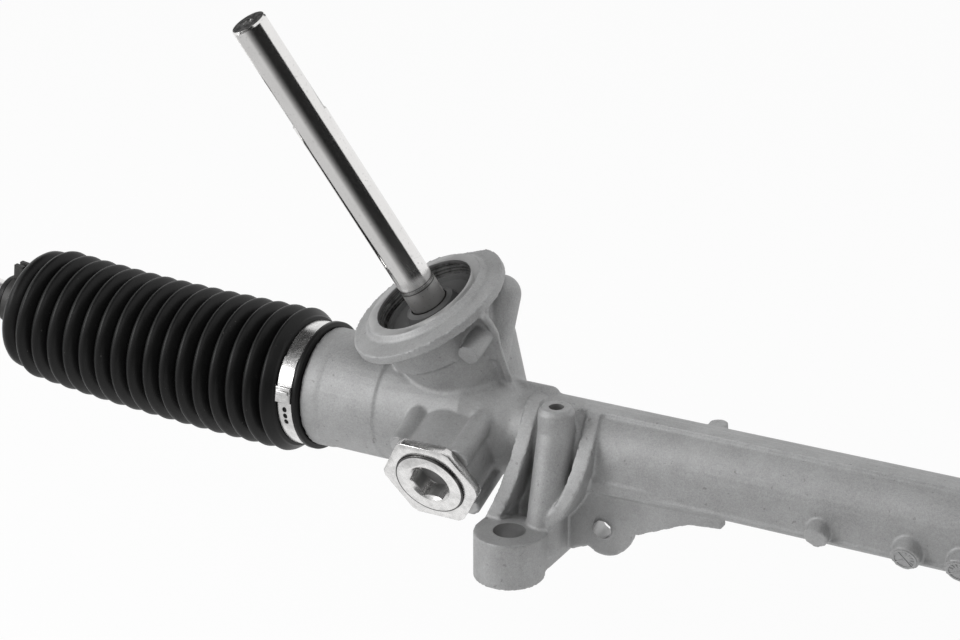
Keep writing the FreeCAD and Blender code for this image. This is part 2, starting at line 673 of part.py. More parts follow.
# Upper bearing, circlips, seal and needle bearing, all about the pinion axis.
def bearing_parts():
    bottom = size("bearing_bottom")
    top = bottom + size("bearing_width")
    middle = (bottom + top) / 2
    outer = size("bearing_diameter") / 2
    bore = size("seat_diameter") / 2
    ball = size("ball_diameter") / 2
    track = (outer + bore) / 2
    groove = ball + size("running_clearance")
    land = ball * 0.55
    shell = [Vector(outer, 0, bottom), Vector(outer, 0, top), Vector(track + land, 0, top),
             Vector(track + land, 0, middle + math.sqrt(groove ** 2 - land ** 2)),
             (Vector(track + groove, 0, middle), Vector(track + land, 0, middle - math.sqrt(groove ** 2 - land ** 2))),
             Vector(track + land, 0, bottom)]
    core = [Vector(bore, 0, bottom), Vector(bore, 0, top), Vector(track - land, 0, top),
            Vector(track - land, 0, middle + math.sqrt(groove ** 2 - land ** 2)),
            (Vector(track - groove, 0, middle), Vector(track - land, 0, middle - math.sqrt(groove ** 2 - land ** 2))),
            Vector(track - land, 0, bottom)]
    keep(feature("outer_ring", turned(shell), pinion_frame), "bearing_outer_ring")
    keep(feature("inner_ring", turned(core), pinion_frame), "bearing_inner_ring")
    count = int(size("ball_count"))
    balls = []
    pockets = []
    for index in range(count):
        turn = 2 * math.pi * index / count
        centre = Vector(track * math.cos(turn), track * math.sin(turn), middle)
        balls.append(Part.makeSphere(ball, centre))
        pockets.append(Part.makeCylinder(ball + 0.06, 2 * land, centre - Vector(math.cos(turn), math.sin(turn), 0)
                                         * land, Vector(math.cos(turn), math.sin(turn), 0)))
    keep(feature("balls", Part.makeCompound(balls), pinion_frame), "bearing_balls")
    band = turned(ring_profile(track - 0.7, track + 0.7, middle - ball - 1, middle + ball + 1))
    keep(feature("cage", band.cut(Part.makeCompound(pockets)), pinion_frame), "bearing_cage")


def open_ring(inner, outer, thickness, gap):
    ring = Part.makeCylinder(outer, thickness).cut(Part.makeCylinder(inner, thickness))
    return ring.cut(Part.makeBox(outer + 1, gap, thickness, Vector(0, -gap / 2, 0)))


def tower_parts():
    bearing_parts()
    top = size("bearing_bottom") + size("bearing_width")
    outer = size("bearing_diameter") / 2
    bore = size("seat_diameter") / 2
    clip = size("circlip_thickness")
    keep(feature("circlip", open_ring(outer - 2.6, outer, clip, 9), on_pinion(top)), "bearing_circlip")
    keep(feature("snap_ring", open_ring(bore - 0.6, bore + 1.8, clip, 6), on_pinion(top)), "shaft_circlip")
    lip = size("seal_journal_diameter") / 2 + size("running_clearance")
    wide = size("seal_diameter") / 2
    high = size("seal_height")
    profile = [Vector(lip + 0.6, 0, 0.5), Vector(lip + 3, 0, 0), Vector(wide, 0, 0), Vector(wide, 0, high),
               Vector(wide - 1.6, 0, high), Vector(wide - 2.4, 0, high - 1.6), Vector(lip + 4, 0, high - 2.2),
               Vector(lip + 2.4, 0, high + 1.2), Vector(lip, 0, high + 2.0), Vector(lip, 0, high - 1.5)]
    keep(feature("seal", turned(profile), on_pinion(seal_bottom)), "pinion_seal")
    journal = size("journal_diameter") / 2
    needle = size("needle_diameter") / 2
    low = size("journal_bottom") + 1
    high = size("journal_top") - 1.5
    race = journal + 2 * needle + size("running_clearance")
    cup = [Vector(race, 0, low), Vector(cup_radius, 0, low), Vector(cup_radius, 0, high), Vector(race, 0, high)]
    keep(feature("cup", turned(cup), pinion_frame), "needle_cup")
    track = journal + needle + size("running_clearance") / 2
    rollers = []
    count = int(size("needle_count"))
    for index in range(count):
        turn = 2 * math.pi * index / count
        rollers.append(Part.makeCylinder(needle - 0.02, high - low - 2,
                                         Vector(track * math.cos(turn), track * math.sin(turn), low + 1)))
    keep(feature("rollers", Part.makeCompound(rollers), pinion_frame), "needle_rollers")


tower_parts()


# Yoke group: support yoke with its pad, ring and spring, then plug and lock nut.
def sketch_on(body, plane):
    sketch = body.newObject("Sketcher::SketchObject", body.Name + "_sketch")
    origin = [item for item in body.Origin.OriginFeatures if item.Role == plane][0]
    sketch.AttachmentSupport = [(origin, "")]
    sketch.MapMode = "FlatFace"
    return sketch


def circle_in(sketch, diameter):
    index = sketch.addGeometry(Part.Circle(Vector(), Vector(0, 0, 1), 5.0), False)
    sketch.addConstraint(Sketcher.Constraint("Coincident", index, 3, -1, 1))
    dimension = sketch.addConstraint(Sketcher.Constraint("Diameter", index, 10.0))
    sketch.setExpression("Constraints[%d]" % dimension, formula(diameter))


def hexagon_in(sketch, flats):
    # Six equal sides about the origin, sized by the distance across the flats.
    corners = [Vector(10 * math.cos(math.radians(60 * k)), 10 * math.sin(math.radians(60 * k)), 0) for k in range(6)]
    lines = [sketch.addGeometry(Part.LineSegment(corners[k], corners[(k + 1) % 6]), False) for k in range(6)]
    circle = sketch.addGeometry(Part.Circle(Vector(), Vector(0, 0, 1), 10.0), True)
    sketch.addConstraint(Sketcher.Constraint("Coincident", circle, 3, -1, 1))
    for k in range(6):
        sketch.addConstraint(Sketcher.Constraint("Coincident", lines[k], 2, lines[(k + 1) % 6], 1))
        sketch.addConstraint(Sketcher.Constraint("PointOnObject", lines[k], 1, circle))
        if k:
            sketch.addConstraint(Sketcher.Constraint("Equal", lines[0], lines[k]))
    sketch.addConstraint(Sketcher.Constraint("PointOnObject", lines[0], 1, -1))
    dimension = sketch.addConstraint(Sketcher.Constraint("Diameter", circle, 20.0))
    sketch.setExpression("Constraints[%d]" % dimension, formula(flats + " / cos(30 deg)"))


def pad(body, sketch, length):
    item = body.newObject("PartDesign::Pad", body.Name + "_pad")
    item.Profile = sketch
    item.setExpression("Length", formula(length))
    return item


def pocket(body, sketch, length, inward):
    item = body.newObject("PartDesign::Pocket", body.Name + "_pocket")
    item.Profile = sketch
    item.setExpression("Length", formula(length))
    item.Reversed = inward
    return item


def plug_body():
    # Modelled from its outer face inwards, then turned to face out of the barrel.
    body = document.addObject("PartDesign::Body", "plug")
    disc = sketch_on(body, "XY_Plane")
    circle_in(disc, "plug_diameter")
    pad(body, disc, "plug_face - plug_inner_face")
    socket = sketch_on(body, "XY_Plane")
    hexagon_in(socket, "hex_socket")
    pocket(body, socket, "hex_socket_depth", True)
    entry = cone("hex_entry", "hex_entry_diameter / 2", "hex_socket / 2", "hex_entry_depth", Placement())
    plug = cut("plug_with_entry", body, entry)
    plug.Placement = on_yoke(size("plug_face")) * Placement(Vector(), Rotation(Vector(1, 0, 0), 180))
    return plug


def nut_body():
    body = document.addObject("PartDesign::Body", "nut")
    flats = sketch_on(body, "XY_Plane")
    hexagon_in(flats, "nut_across_flats")
    pad(body, flats, "nut_thickness")
    hole = sketch_on(body, "XY_Plane")
    circle_in(hole, "plug_diameter")
    pocket(body, hole, "nut_thickness", True)
    corners = cylinder("nut_corners", "nut_corner_diameter / 2", "nut_thickness", Placement())
    nut = document.addObject("Part::Common", "rounded_nut")
    nut.Base = body
    nut.Tool = corners
    nut.Placement = on_yoke(size("barrel_mouth"))
    return nut


def yoke_parts():
    radius = size("yoke_diameter") / 2 - size("yoke_clearance")
    rack = size("rack_diameter") / 2
    pad_inner = rack + size("running_clearance")
    saddle = pad_inner + size("pad_thickness")
    start = 3.0
    length = size("yoke_length")
    ring_wire = 1.6
    pocket_radius = size("spring_diameter") / 2 + size("spring_wire") / 2 + 0.6
    block = Part.makeCylinder(radius, length, Vector(0, 0, start))
    trough = Part.makeCylinder(saddle, 4 * radius, Vector(-2 * radius, 0, 0), Vector(1, 0, 0))
    well = Part.makeCylinder(pocket_radius, length, Vector(0, 0, saddle + 2.5))
    ring_height = start + length - 4
    ring_groove = turned([Vector(radius - ring_wire, 0, ring_height - ring_wire / 2 - 0.1),
                          Vector(radius + 1, 0, ring_height - ring_wire / 2 - 0.1),
                          Vector(radius + 1, 0, ring_height + ring_wire / 2 + 0.1),
                          Vector(radius - ring_wire, 0, ring_height + ring_wire / 2 + 0.1)])
    keep(feature("yoke", block.cut(trough).cut(well).cut(ring_groove), yoke_frame), "support_yoke")
    lining = trough.cut(Part.makeCylinder(pad_inner, 4 * radius, Vector(-2 * radius, 0, 0), Vector(1, 0, 0)))
    reach = Part.makeCylinder(radius - 1.5, length, Vector(0, 0, start))
    keep(feature("lining", lining.common(reach), yoke_frame), "yoke_pad")
    ring = ring_profile(radius - ring_wire, radius, ring_height - ring_wire / 2, ring_height + ring_wire / 2)
    keep(feature("seal_ring", turned(ring), yoke_frame), "yoke_ring")
    wire = size("spring_wire") / 2
    coil = size("spring_diameter") / 2
    low = saddle + 2.5 + wire
    high = size("plug_inner_face") - wire
    helix = Part.makeHelix((high - low) / size("spring_turns"), high - low, coil)
    helix.translate(Vector(0, 0, low))
    edge = wire - 0.05
    square = [Vector(coil - edge, 0, low - edge), Vector(coil + edge, 0, low - edge),
              Vector(coil + edge, 0, low + edge), Vector(coil - edge, 0, low + edge)]
    spring = Part.Wire(helix).makePipeShell([outline(square).OuterWire], True, True)
    keep(feature("spring", spring, yoke_frame), "yoke_spring")
    keep(plug_body(), "yoke_plug")
    keep(nut_body(), "yoke_lock_nut")


yoke_parts()


# Bush at the far end of the tube, with two elastic rings around it.
def bush_parts():
    inner = size("rack_diameter") / 2 + size("running_clearance")
    outer = size("bore_diameter") / 2 + size("bush_wall")
    length = size("bush_length")
    start = half_housing - size("socket_bore_depth") - length
    profile = [Vector(inner, 0, 0), Vector(outer, 0, 0)]
    rings = []
    for middle in (length * 0.3, length * 0.7):
        profile += [Vector(outer, 0, middle - 1.3), Vector(outer - 1.8, 0, middle - 1.3),
                    Vector(outer - 1.8, 0, middle + 1.3), Vector(outer, 0, middle + 1.3)]
        rings.append(turned(ring_profile(outer - 1.8, outer, middle - 1.2, middle + 1.2)))
    profile += [Vector(outer, 0, length), Vector(inner, 0, length)]
    keep(feature("bush", turned(profile), on_rack(start)), "rack_bush")
    keep(feature("bush_o_rings", Part.makeCompound(rings), on_rack(start)), "bush_rings")


bush_parts()


# Ball joints, tie rods, boots and clamps: the same on both ends, turned half round for the right.
def end_frame(side):
    # z runs outwards along the rack from its middle, and x stays upright.
    outward = Vector(side, 0, 0)
    return Placement(rack_axis, Rotation(Vector(0, 0, 1), Vector(), outward, "XZY"))


def ball_joint(side, name, frame):
    inner = half_rack
    washer = size("washer_thickness")
    radius = size("socket_diameter") / 2
    centre = ball_centre
    ball = size("joint_ball_diameter") / 2
    cavity = ball + size("running_clearance")
    shell = cavity + size("seat_wall")
    mouth = centre + size("seat_mouth")
    start = inner + washer
    rim = start + size("socket_length")
    opening = math.sqrt(cavity ** 2 - (mouth - centre) ** 2)
    keep(feature(name + "_washer", Part.makeCylinder(radius - 3.5, washer, Vector(0, 0, inner)), frame),
         name + "_lock_washer")
    seat_edge = math.sqrt(shell ** 2 - (mouth - centre) ** 2)
    seat = [Vector(0, 0, centre - shell), (Vector(shell * math.sin(0.7), 0, centre - shell * math.cos(0.7)),
                                           Vector(shell, 0, centre)),
            (Vector(shell * math.cos(0.25), 0, centre + shell * math.sin(0.25)), Vector(seat_edge, 0, mouth)),
            Vector(opening, 0, mouth), (Vector(cavity * math.cos(0.25), 0, centre + cavity * math.sin(0.25)),
                                        Vector(cavity, 0, centre)),
            (Vector(cavity * math.sin(0.7), 0, centre - cavity * math.cos(0.7)), Vector(0, 0, centre - cavity))]
    keep(feature(name + "_seat", turned(seat), frame), name + "_ball_seat")
    body = [Vector(0, 0, start), Vector(radius - 1.5, 0, start), Vector(radius, 0, start + 1.5),
            Vector(radius, 0, rim - 5), Vector(radius - 4, 0, rim), Vector(opening + 1.2, 0, rim),
            Vector(seat_edge, 0, mouth), (Vector(shell * math.cos(0.25), 0, centre + shell * math.sin(0.25)),
                                          Vector(shell, 0, centre)),
            (Vector(shell * math.sin(0.7), 0, centre - shell * math.cos(0.7)), Vector(0, 0, centre - shell))]
    keep(feature(name + "_socket", turned(body), frame), name + "_ball_socket")


def rod_frame(frame):
    # z outwards along the tie rod, from the ball's centre, raised by the rest angle.
    tilt = Placement(Vector(0, 0, ball_centre), Rotation(Vector(0, 1, 0), size("rod_rest_angle")))
    return frame * tilt


def tie_rod(name, frame):
    ball = size("joint_ball_diameter") / 2
    neck = size("neck_diameter") / 2
    rod = size("rod_diameter") / 2
    length = size("rod_length")
    thread = length - size("rod_thread_length")
    meet = math.sqrt(ball ** 2 - neck ** 2)
    profile = [Vector(0, 0, -ball), (Vector(ball * math.sin(0.9), 0, -ball * math.cos(0.9)), Vector(ball, 0, 0)),
               (Vector(ball * math.cos(0.5), 0, ball * math.sin(0.5)), Vector(neck, 0, meet)),
               Vector(neck, 0, ball + 8), Vector(rod, 0, ball + 12), Vector(rod, 0, thread),
               Vector(rod - 0.3, 0, thread), Vector(rod - 0.3, 0, length - 1.5),
               Vector(rod - 1.8, 0, length), Vector(0, 0, length)]
    shape = turned(profile)
    flat = rod - 1.5
    for side in (-1, 1):
        start = flat if side > 0 else -flat - 5
        shape = shape.cut(Part.makeBox(5, 30, 16, Vector(start, -15, thread - 36)))
    keep(feature(name + "_rod", shape, frame), name + "_tie_rod")
    across = size("rod_nut_flats")
    corner = across / 2 / math.cos(math.radians(30))
    ring = [Vector(corner * math.cos(math.radians(60 * k)), corner * math.sin(math.radians(60 * k)), 0)
            for k in range(6)]
    nut = outline(ring).extrude(Vector(0, 0, size("rod_nut_height")))
    nut = nut.cut(Part.makeCylinder(rod, size("rod_nut_height")))
    keep(feature(name + "_nut", nut, frame * Placement(Vector(0, 0, thread - size("rod_nut_height")),
                                                              Rotation())), name + "_rod_nut")


def boot_axis(frame):
    # The bellows run from the collar to the neck, which sits on the raised tie rod.
    pivot = boot_lip + size("first_ridge") - size("ridge_pitch") / 2
    bellows_end = pivot + size("ridge_count") * size("ridge_pitch")
    lift = (bellows_end - ball_centre) * math.tan(math.radians(size("rod_rest_angle")))
    angle = math.degrees(math.atan(lift / (bellows_end - pivot)))
    neck_start = (bellows_end - ball_centre) / math.cos(math.radians(size("rod_rest_angle")))
    return frame * Placement(Vector(0, 0, pivot), Rotation(Vector(0, 1, 0), angle)), pivot, neck_start


def boot(name, frame):
    lip = boot_lip
    seat = size("boot_seat_diameter") / 2
    outer = seat + size("boot_lip_wall")
    ridge = size("boot_ridge_diameter") / 2
    end_ridge = size("boot_end_diameter") / 2
    valley = size("boot_valley_diameter") / 2
    wall = size("boot_wall")
    pitch = size("ridge_pitch")
    groove = lip + size("boot_lip_width")
    band = groove + size("band_width") + 2 * size("band_clearance")
    strap_radius = outer - size("band_groove_depth")
    axis, pivot, neck_start = boot_axis(frame)
    inner = valley - wall
    collar = [Vector(seat, 0, lip), Vector(outer, 0, lip), Vector(outer, 0, groove), Vector(strap_radius, 0, groove),
              Vector(strap_radius, 0, band), Vector(outer + 0.4, 0, band), Vector(valley + 2, 0, pivot + 1.5),
              Vector(inner, 0, pivot + 1.5), Vector(inner, 0, half_housing + 0.6), Vector(seat, 0, half_housing + 0.6)]
    count = int(size("ridge_count"))
    neck = size("boot_neck_diameter") / 2
    bore = size("rod_diameter") / 2 + size("neck_clearance")
    lining = inner - wall / 2
    profile = [Vector(lining, 0, -1), Vector(valley, 0, -1)]
    for index in range(count):
        crest = (index + 0.5) * pitch
        height = ridge + (end_ridge - ridge) * index / (count - 1)
        if index == count - 1:
            height = (height + valley) / 2
        profile.append(Vector(height, 0, crest))
        profile.append(Vector(valley, 0, crest + pitch / 2))
    end = count * pitch
    shoulder = (neck + valley) / 2
    profile += [Vector(shoulder, 0, end + wall), Vector(bore + wall / 2, 0, end + wall),
                Vector(bore + wall / 2, 0, end), Vector(lining, 0, end - wall)]
    bellows = turned(profile)
    bellows.Placement = axis
    base = turned(collar)
    base.Placement = frame
    tip = neck_start + size("boot_neck_length")
    sleeve = turned([Vector(bore, 0, neck_start - wall), Vector(shoulder - wall, 0, neck_start - wall),
                     Vector(neck, 0, neck_start + 4), Vector(neck, 0, tip), Vector(bore, 0, tip)])
    sleeve.Placement = rod_frame(frame)
    keep(feature(name + "_bellows", base.fuse([bellows, sleeve])), name + "_boot")
    thick = size("band_thickness")
    width = size("band_width")
    start = groove + size("band_clearance")
    strap = turned(ring_profile(strap_radius, strap_radius + thick, start, start + width))
    long_way = size("buckle_length")
    rise = size("buckle_height")
    buckle = Part.makeBox(rise + thick, long_way, width, Vector(strap_radius, -long_way / 2, start))
    buckle = buckle.cut(Part.makeCylinder(strap_radius + thick / 2, lip + band))
    # The buckle faces the yoke's side of the gear, below the middle.
    buckle.rotate(Vector(), Vector(0, 0, 1), -size("buckle_angle") if name == "left" else size("buckle_angle"))
    keep(feature(name + "_band", strap.fuse(buckle), frame), name + "_boot_clamp")
    clamp_at = rod_frame(frame) * Placement(Vector(0, 0, tip - size("boot_neck_length") / 2 + 1), Rotation())
    wire = size("rod_clamp_wire")
    half = size("rod_clamp_width") / 2
    ear = size("rod_clamp_ear")
    ring = turned(ring_profile(neck, neck + wire, -half, half))
    ears = Part.makeBox(ear, 3 * wire, 2 * half, Vector(neck, -1.5 * wire, -half))
    ears = ears.cut(Part.makeBox(ear, wire, 2 * half, Vector(neck + wire / 2, -wire / 2, -half)))
    keep(feature(name + "_spring_clamp", ring.fuse(ears), clamp_at), name + "_rod_clamp")


for side, name in ((-1, "left"), (1, "right")):
    frame = end_frame(side)
    ball_joint(side, name, frame)
    tie_rod(name, rod_frame(frame))
    boot(name, frame)

document.recompute()
failed = [item.Name for item in document.Objects if {"Invalid", "Error"} & set(item.State)]
if failed:
    raise RuntimeError("objects that did not compute: " + ", ".join(failed))
for item in nodes:
    if item.Shape.isNull() or not item.Shape.isValid():
        raise RuntimeError("sub-part without a valid shape: " + item.Label)

os.makedirs("parts", exist_ok=True)
for item in nodes:
    item.Shape.exportStep("parts/%s.step" % item.Label)
    print("%-20s solids %2d volume %9.0f" % (item.Label, len(item.Shape.Solids), item.Shape.Volume))
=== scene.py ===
import json
import math

import bmesh
import bpy
from mathutils import Matrix, Vector


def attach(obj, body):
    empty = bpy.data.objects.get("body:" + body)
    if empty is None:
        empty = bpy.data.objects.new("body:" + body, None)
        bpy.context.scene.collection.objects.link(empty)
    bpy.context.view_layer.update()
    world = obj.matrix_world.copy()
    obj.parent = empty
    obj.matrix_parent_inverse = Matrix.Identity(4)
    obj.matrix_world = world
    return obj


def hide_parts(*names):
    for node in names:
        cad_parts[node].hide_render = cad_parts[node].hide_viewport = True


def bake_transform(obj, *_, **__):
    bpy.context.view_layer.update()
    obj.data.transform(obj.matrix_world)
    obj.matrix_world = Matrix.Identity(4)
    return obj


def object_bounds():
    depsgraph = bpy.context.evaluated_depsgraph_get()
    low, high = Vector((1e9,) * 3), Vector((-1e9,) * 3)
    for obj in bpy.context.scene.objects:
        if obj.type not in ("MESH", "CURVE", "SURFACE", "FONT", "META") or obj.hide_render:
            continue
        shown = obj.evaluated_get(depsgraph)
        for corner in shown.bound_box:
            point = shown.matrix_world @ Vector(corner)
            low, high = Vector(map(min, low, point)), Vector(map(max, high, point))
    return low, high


# A steering rack with boots and tie rods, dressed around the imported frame.
# Metres, z up, x along the rack. Lengths in the dictionaries below are in millimetres.

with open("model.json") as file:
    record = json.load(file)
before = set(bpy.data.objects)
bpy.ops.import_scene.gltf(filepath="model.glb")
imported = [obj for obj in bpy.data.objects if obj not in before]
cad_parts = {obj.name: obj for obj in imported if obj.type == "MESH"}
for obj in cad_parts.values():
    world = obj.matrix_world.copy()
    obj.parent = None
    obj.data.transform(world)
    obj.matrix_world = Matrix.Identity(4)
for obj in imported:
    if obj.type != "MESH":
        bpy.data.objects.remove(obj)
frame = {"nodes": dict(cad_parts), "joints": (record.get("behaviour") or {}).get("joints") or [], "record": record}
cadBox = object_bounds()
nodes = frame["nodes"]
mounts = {mount["name"]: mount for mount in frame["record"]["mounts"]}
joints = {joint["name"]: joint for joint in frame["joints"]}
mm = 0.001
weldDistance = 1e-6
nodeWeldDistance = 2e-6
print("frame loaded:", len(nodes), "nodes")


class Axis:
    # A line that pieces are turned about. Its own z runs along it, its x is as upright as it can be.
    def __init__(self, origin, direction, upright=(0, 0, 1)):
        self.origin = Vector(origin)
        self.along = Vector(direction).normalized()
        side = self.along.cross(Vector(upright)).normalized()
        turn = Matrix((side.cross(self.along), side, self.along)).transposed()
        self.matrix = Matrix.Translation(self.origin) @ turn.to_4x4()
        self.inverse = self.matrix.inverted()

    def local(self, point):
        return self.inverse @ Vector(point)

    def point(self, height):
        return self.matrix @ Vector((0, 0, height))

    def reach(self, node):
        # Lowest and highest place along the axis, and the widest radius, of a CAD node.
        places = [self.local(vertex.co) for vertex in nodes[node].data.vertices]
        heights = [place.z for place in places]
        return min(heights), max(heights), max(place.xy.length for place in places)


crossing = Vector(joints["rack_travel"]["pos_m"])
pinionAxis = Axis(joints["pinion_turn"]["pos_m"], joints["pinion_turn"]["axis"])
yokeAxis = Axis(crossing, crossing - pinionAxis.origin)
rackMiddle = Vector((0, crossing.y, crossing.z))
rackAxis = Axis(rackMiddle, (1, 0, 0))
endAxes = {"left": Axis(rackMiddle, (-1, 0, 0)), "right": Axis(rackMiddle, (1, 0, 0))}
rodAxes = {}
for endName in ("left", "right"):
    ballCentre = Vector(joints[endName + "_rod_swing"]["pos_m"])
    rodAxes[endName] = Axis(ballCentre, mounts[endName + "_rod_thread"]["axis"])


def meshOf(name, bm):
    mesh = bpy.data.meshes.new(name)
    bm.to_mesh(mesh)
    bm.free()
    return mesh


def linked(name, data):
    # A new object of the scene.
    item = bpy.data.objects.new(name, data)
    bpy.context.scene.collection.objects.link(item)
    return item


def turned(bm, verts, angle, about="Z"):
    bmesh.ops.rotate(bm, verts=verts, cent=(0, 0, 0), matrix=Matrix.Rotation(angle, 3, about))


# Camera, lamps, floor and cards. Places, targets and the sizes of lamps and of the flat card are in metres.

view = {
    "place": (0.2476, -0.8138, 0.4814),
    "azimuth": 28.5,
    "elevation": 21.6,
    "lens": 90.0,
    "sensor": 36.0,
    "nearest": 0.01,
}
studio = {
    "floorDrop": 160.0,
    "floorSize": 14000.0,
    "floorWhite": 0.9,
    "floorGlow": 0.92,
    "ambient": 0.6,
    "softbox": {"place": (-1.25, -0.85, 0.7), "target": (-0.15, 0.04, 0.05), "size": 0.8, "power": 12.0},
    "sideLamp": {"place": (0.9, -1.0, 0.9), "target": (-0.05, 0.04, 0.05), "size": 0.6, "power": 2.5},
    # Black cards, which the camera doesn't see, give the metal something dark to mirror. The first is
    # bent round the pinion axis, with angles counted from the camera's side, and pales to the left.
    "shaftCard": {"radius": 300.0, "heights": (-80.0, 260.0), "angles": (-125.0, 55.0), "steps": 60,
                  "fade": (2.0, -52.0), "pale": 0.68},
    "topCard": {"place": (-0.46, 0.0, 0.38), "target": (-0.28, 0.02, 0.07), "size": (0.62, 0.32)},
}


def makeCamera():
    data = bpy.data.cameras.new("camera")
    data.lens = view["lens"]
    data.sensor_width = view["sensor"]
    data.clip_start = view["nearest"]
    camera = linked("camera", data)
    camera.location = view["place"]
    camera.rotation_euler = (math.radians(90 - view["elevation"]), 0, math.radians(view["azimuth"]))
    bpy.context.scene.camera = camera


def towards(thing):
    return Vector(thing["target"]) - Vector(thing["place"])


def makeLamp(name):
    lamp = studio[name]
    data = bpy.data.lights.new(name, "AREA")
    data.size = lamp["size"]
    data.energy = lamp["power"]
    item = linked(name, data)
    item.location = lamp["place"]
    item.rotation_euler = towards(lamp).to_track_quat("-Z", "Y").to_euler()


def hangCard(name, bm, matrix):
    # A black card that the camera doesn't see and that keeps no light off the object.
    finish = Finish(name, {"Base Color": grey(0.01), "Roughness": 0.95})
    item = linked(name, meshOf(name, bm))
    item.data.materials.append(finish.material)
    item.matrix_world = matrix
    item.visible_camera = False
    item.visible_shadow = False
    item.visible_diffuse = False
    return finish


def makeCard(name):
    card = studio[name]
    bm = bmesh.new()
    bmesh.ops.create_grid(bm, x_segments=1, y_segments=1, size=0.5)
    bmesh.ops.scale(bm, verts=bm.verts, vec=(*card["size"], 1))
    turn = towards(card).to_track_quat("Z", "Y").to_matrix().to_4x4()
    hangCard(name, bm, Matrix.Translation(card["place"]) @ turn)


def makeBentCard(name):
    card = studio[name]
    camera = Vector(view["place"])
    facing = Axis(pinionAxis.origin, joints["pinion_turn"]["axis"], camera - pinionAxis.origin)
    first, last = [math.radians(angle) for angle in card["angles"]]
    bm = bmesh.new()
    verts = [bm.verts.new((card["radius"] * mm, 0, height * mm)) for height in card["heights"]]
    edge = bm.edges.new(verts)
    turned(bm, verts, first)
    bmesh.ops.spin(bm, geom=verts + [edge], cent=(0, 0, 0), axis=(0, 0, 1), angle=last - first,
                   steps=card["steps"], use_merge=False)
    finish = hangCard(name, bm, facing.matrix)
    right = finish.node("ShaderNodeSeparateXYZ", {}, {0: finish.place}, "Y")
    front = finish.node("ShaderNodeSeparateXYZ", {}, {0: finish.place}, "X")
    start, end = [math.radians(angle) for angle in card["fade"]]
    pale = finish.between(right.maths("ARCTAN2", right, front), start, end)
    finish.give("Emission Strength", 1.0)
    finish.give("Emission Color", finish.mix(pale * pale, grey(0.0), grey(card["pale"])))


# Shader building.

class Flow:
    # A shader socket that takes part in sums written in Python.
    def __init__(self, graph, socket):
        self.graph = graph
        self.socket = socket

    def maths(self, operation, first, second):
        return self.graph.node("ShaderNodeMath", {"operation": operation}, {0: first, 1: second})

    def __add__(self, other):
        return self.maths("ADD", self, other)

    def __radd__(self, other):
        return self.maths("ADD", other, self)

    def __sub__(self, other):
        return self.maths("SUBTRACT", self, other)

    def __rsub__(self, other):
        return self.maths("SUBTRACT", other, self)

    def __mul__(self, other):
        return self.maths("MULTIPLY", self, other)

    def __rmul__(self, other):
        return self.maths("MULTIPLY", other, self)

    def atLeast(self, other):
        return self.maths("MAXIMUM", self, other)


class Graph:
    # The nodes of a material or of the world.
    def __init__(self, owner):
        owner.use_nodes = True
        self.tree = owner.node_tree

    def node(self, kind, settings=None, inputs=None, output=0):
        item = self.tree.nodes.new(kind)
        for key, value in (settings or {}).items():
            if key == "stops":
                self.setStops(item.color_ramp, value)
            else:
                setattr(item, key, value)
        for key, value in (inputs or {}).items():
            self.feed(item.inputs[key], value)
        return Flow(self, item.outputs[output])

    def setStops(self, ramp, stops):
        while len(ramp.elements) < len(stops):
            ramp.elements.new(1.0)
        for element, (place, level) in zip(ramp.elements, stops):
            element.position = place
            element.color = (level, level, level, 1)

    def feed(self, socket, value):
        if isinstance(value, Flow):
            self.tree.links.new(value.socket, socket)
        else:
            socket.default_value = value

    def mix(self, factor, first, second):
        # Blends two colours.
        return self.node("ShaderNodeMix", {"data_type": "RGBA"}, {0: factor, 6: first, 7: second}, 2)

    def ramp(self, value, *stops):
        return self.node("ShaderNodeValToRGB", {"stops": stops}, {0: value})

    def onPath(self):
        # 1 where the camera looks straight at a surface, or sees it mirrored or through glass.
        path = self.node("ShaderNodeLightPath")
        outputs = path.socket.node.outputs
        seen = Flow(self, outputs["Is Camera Ray"])
        seen = seen.atLeast(Flow(self, outputs["Is Glossy Ray"]))
        return seen.atLeast(Flow(self, outputs["Is Transmission Ray"]))


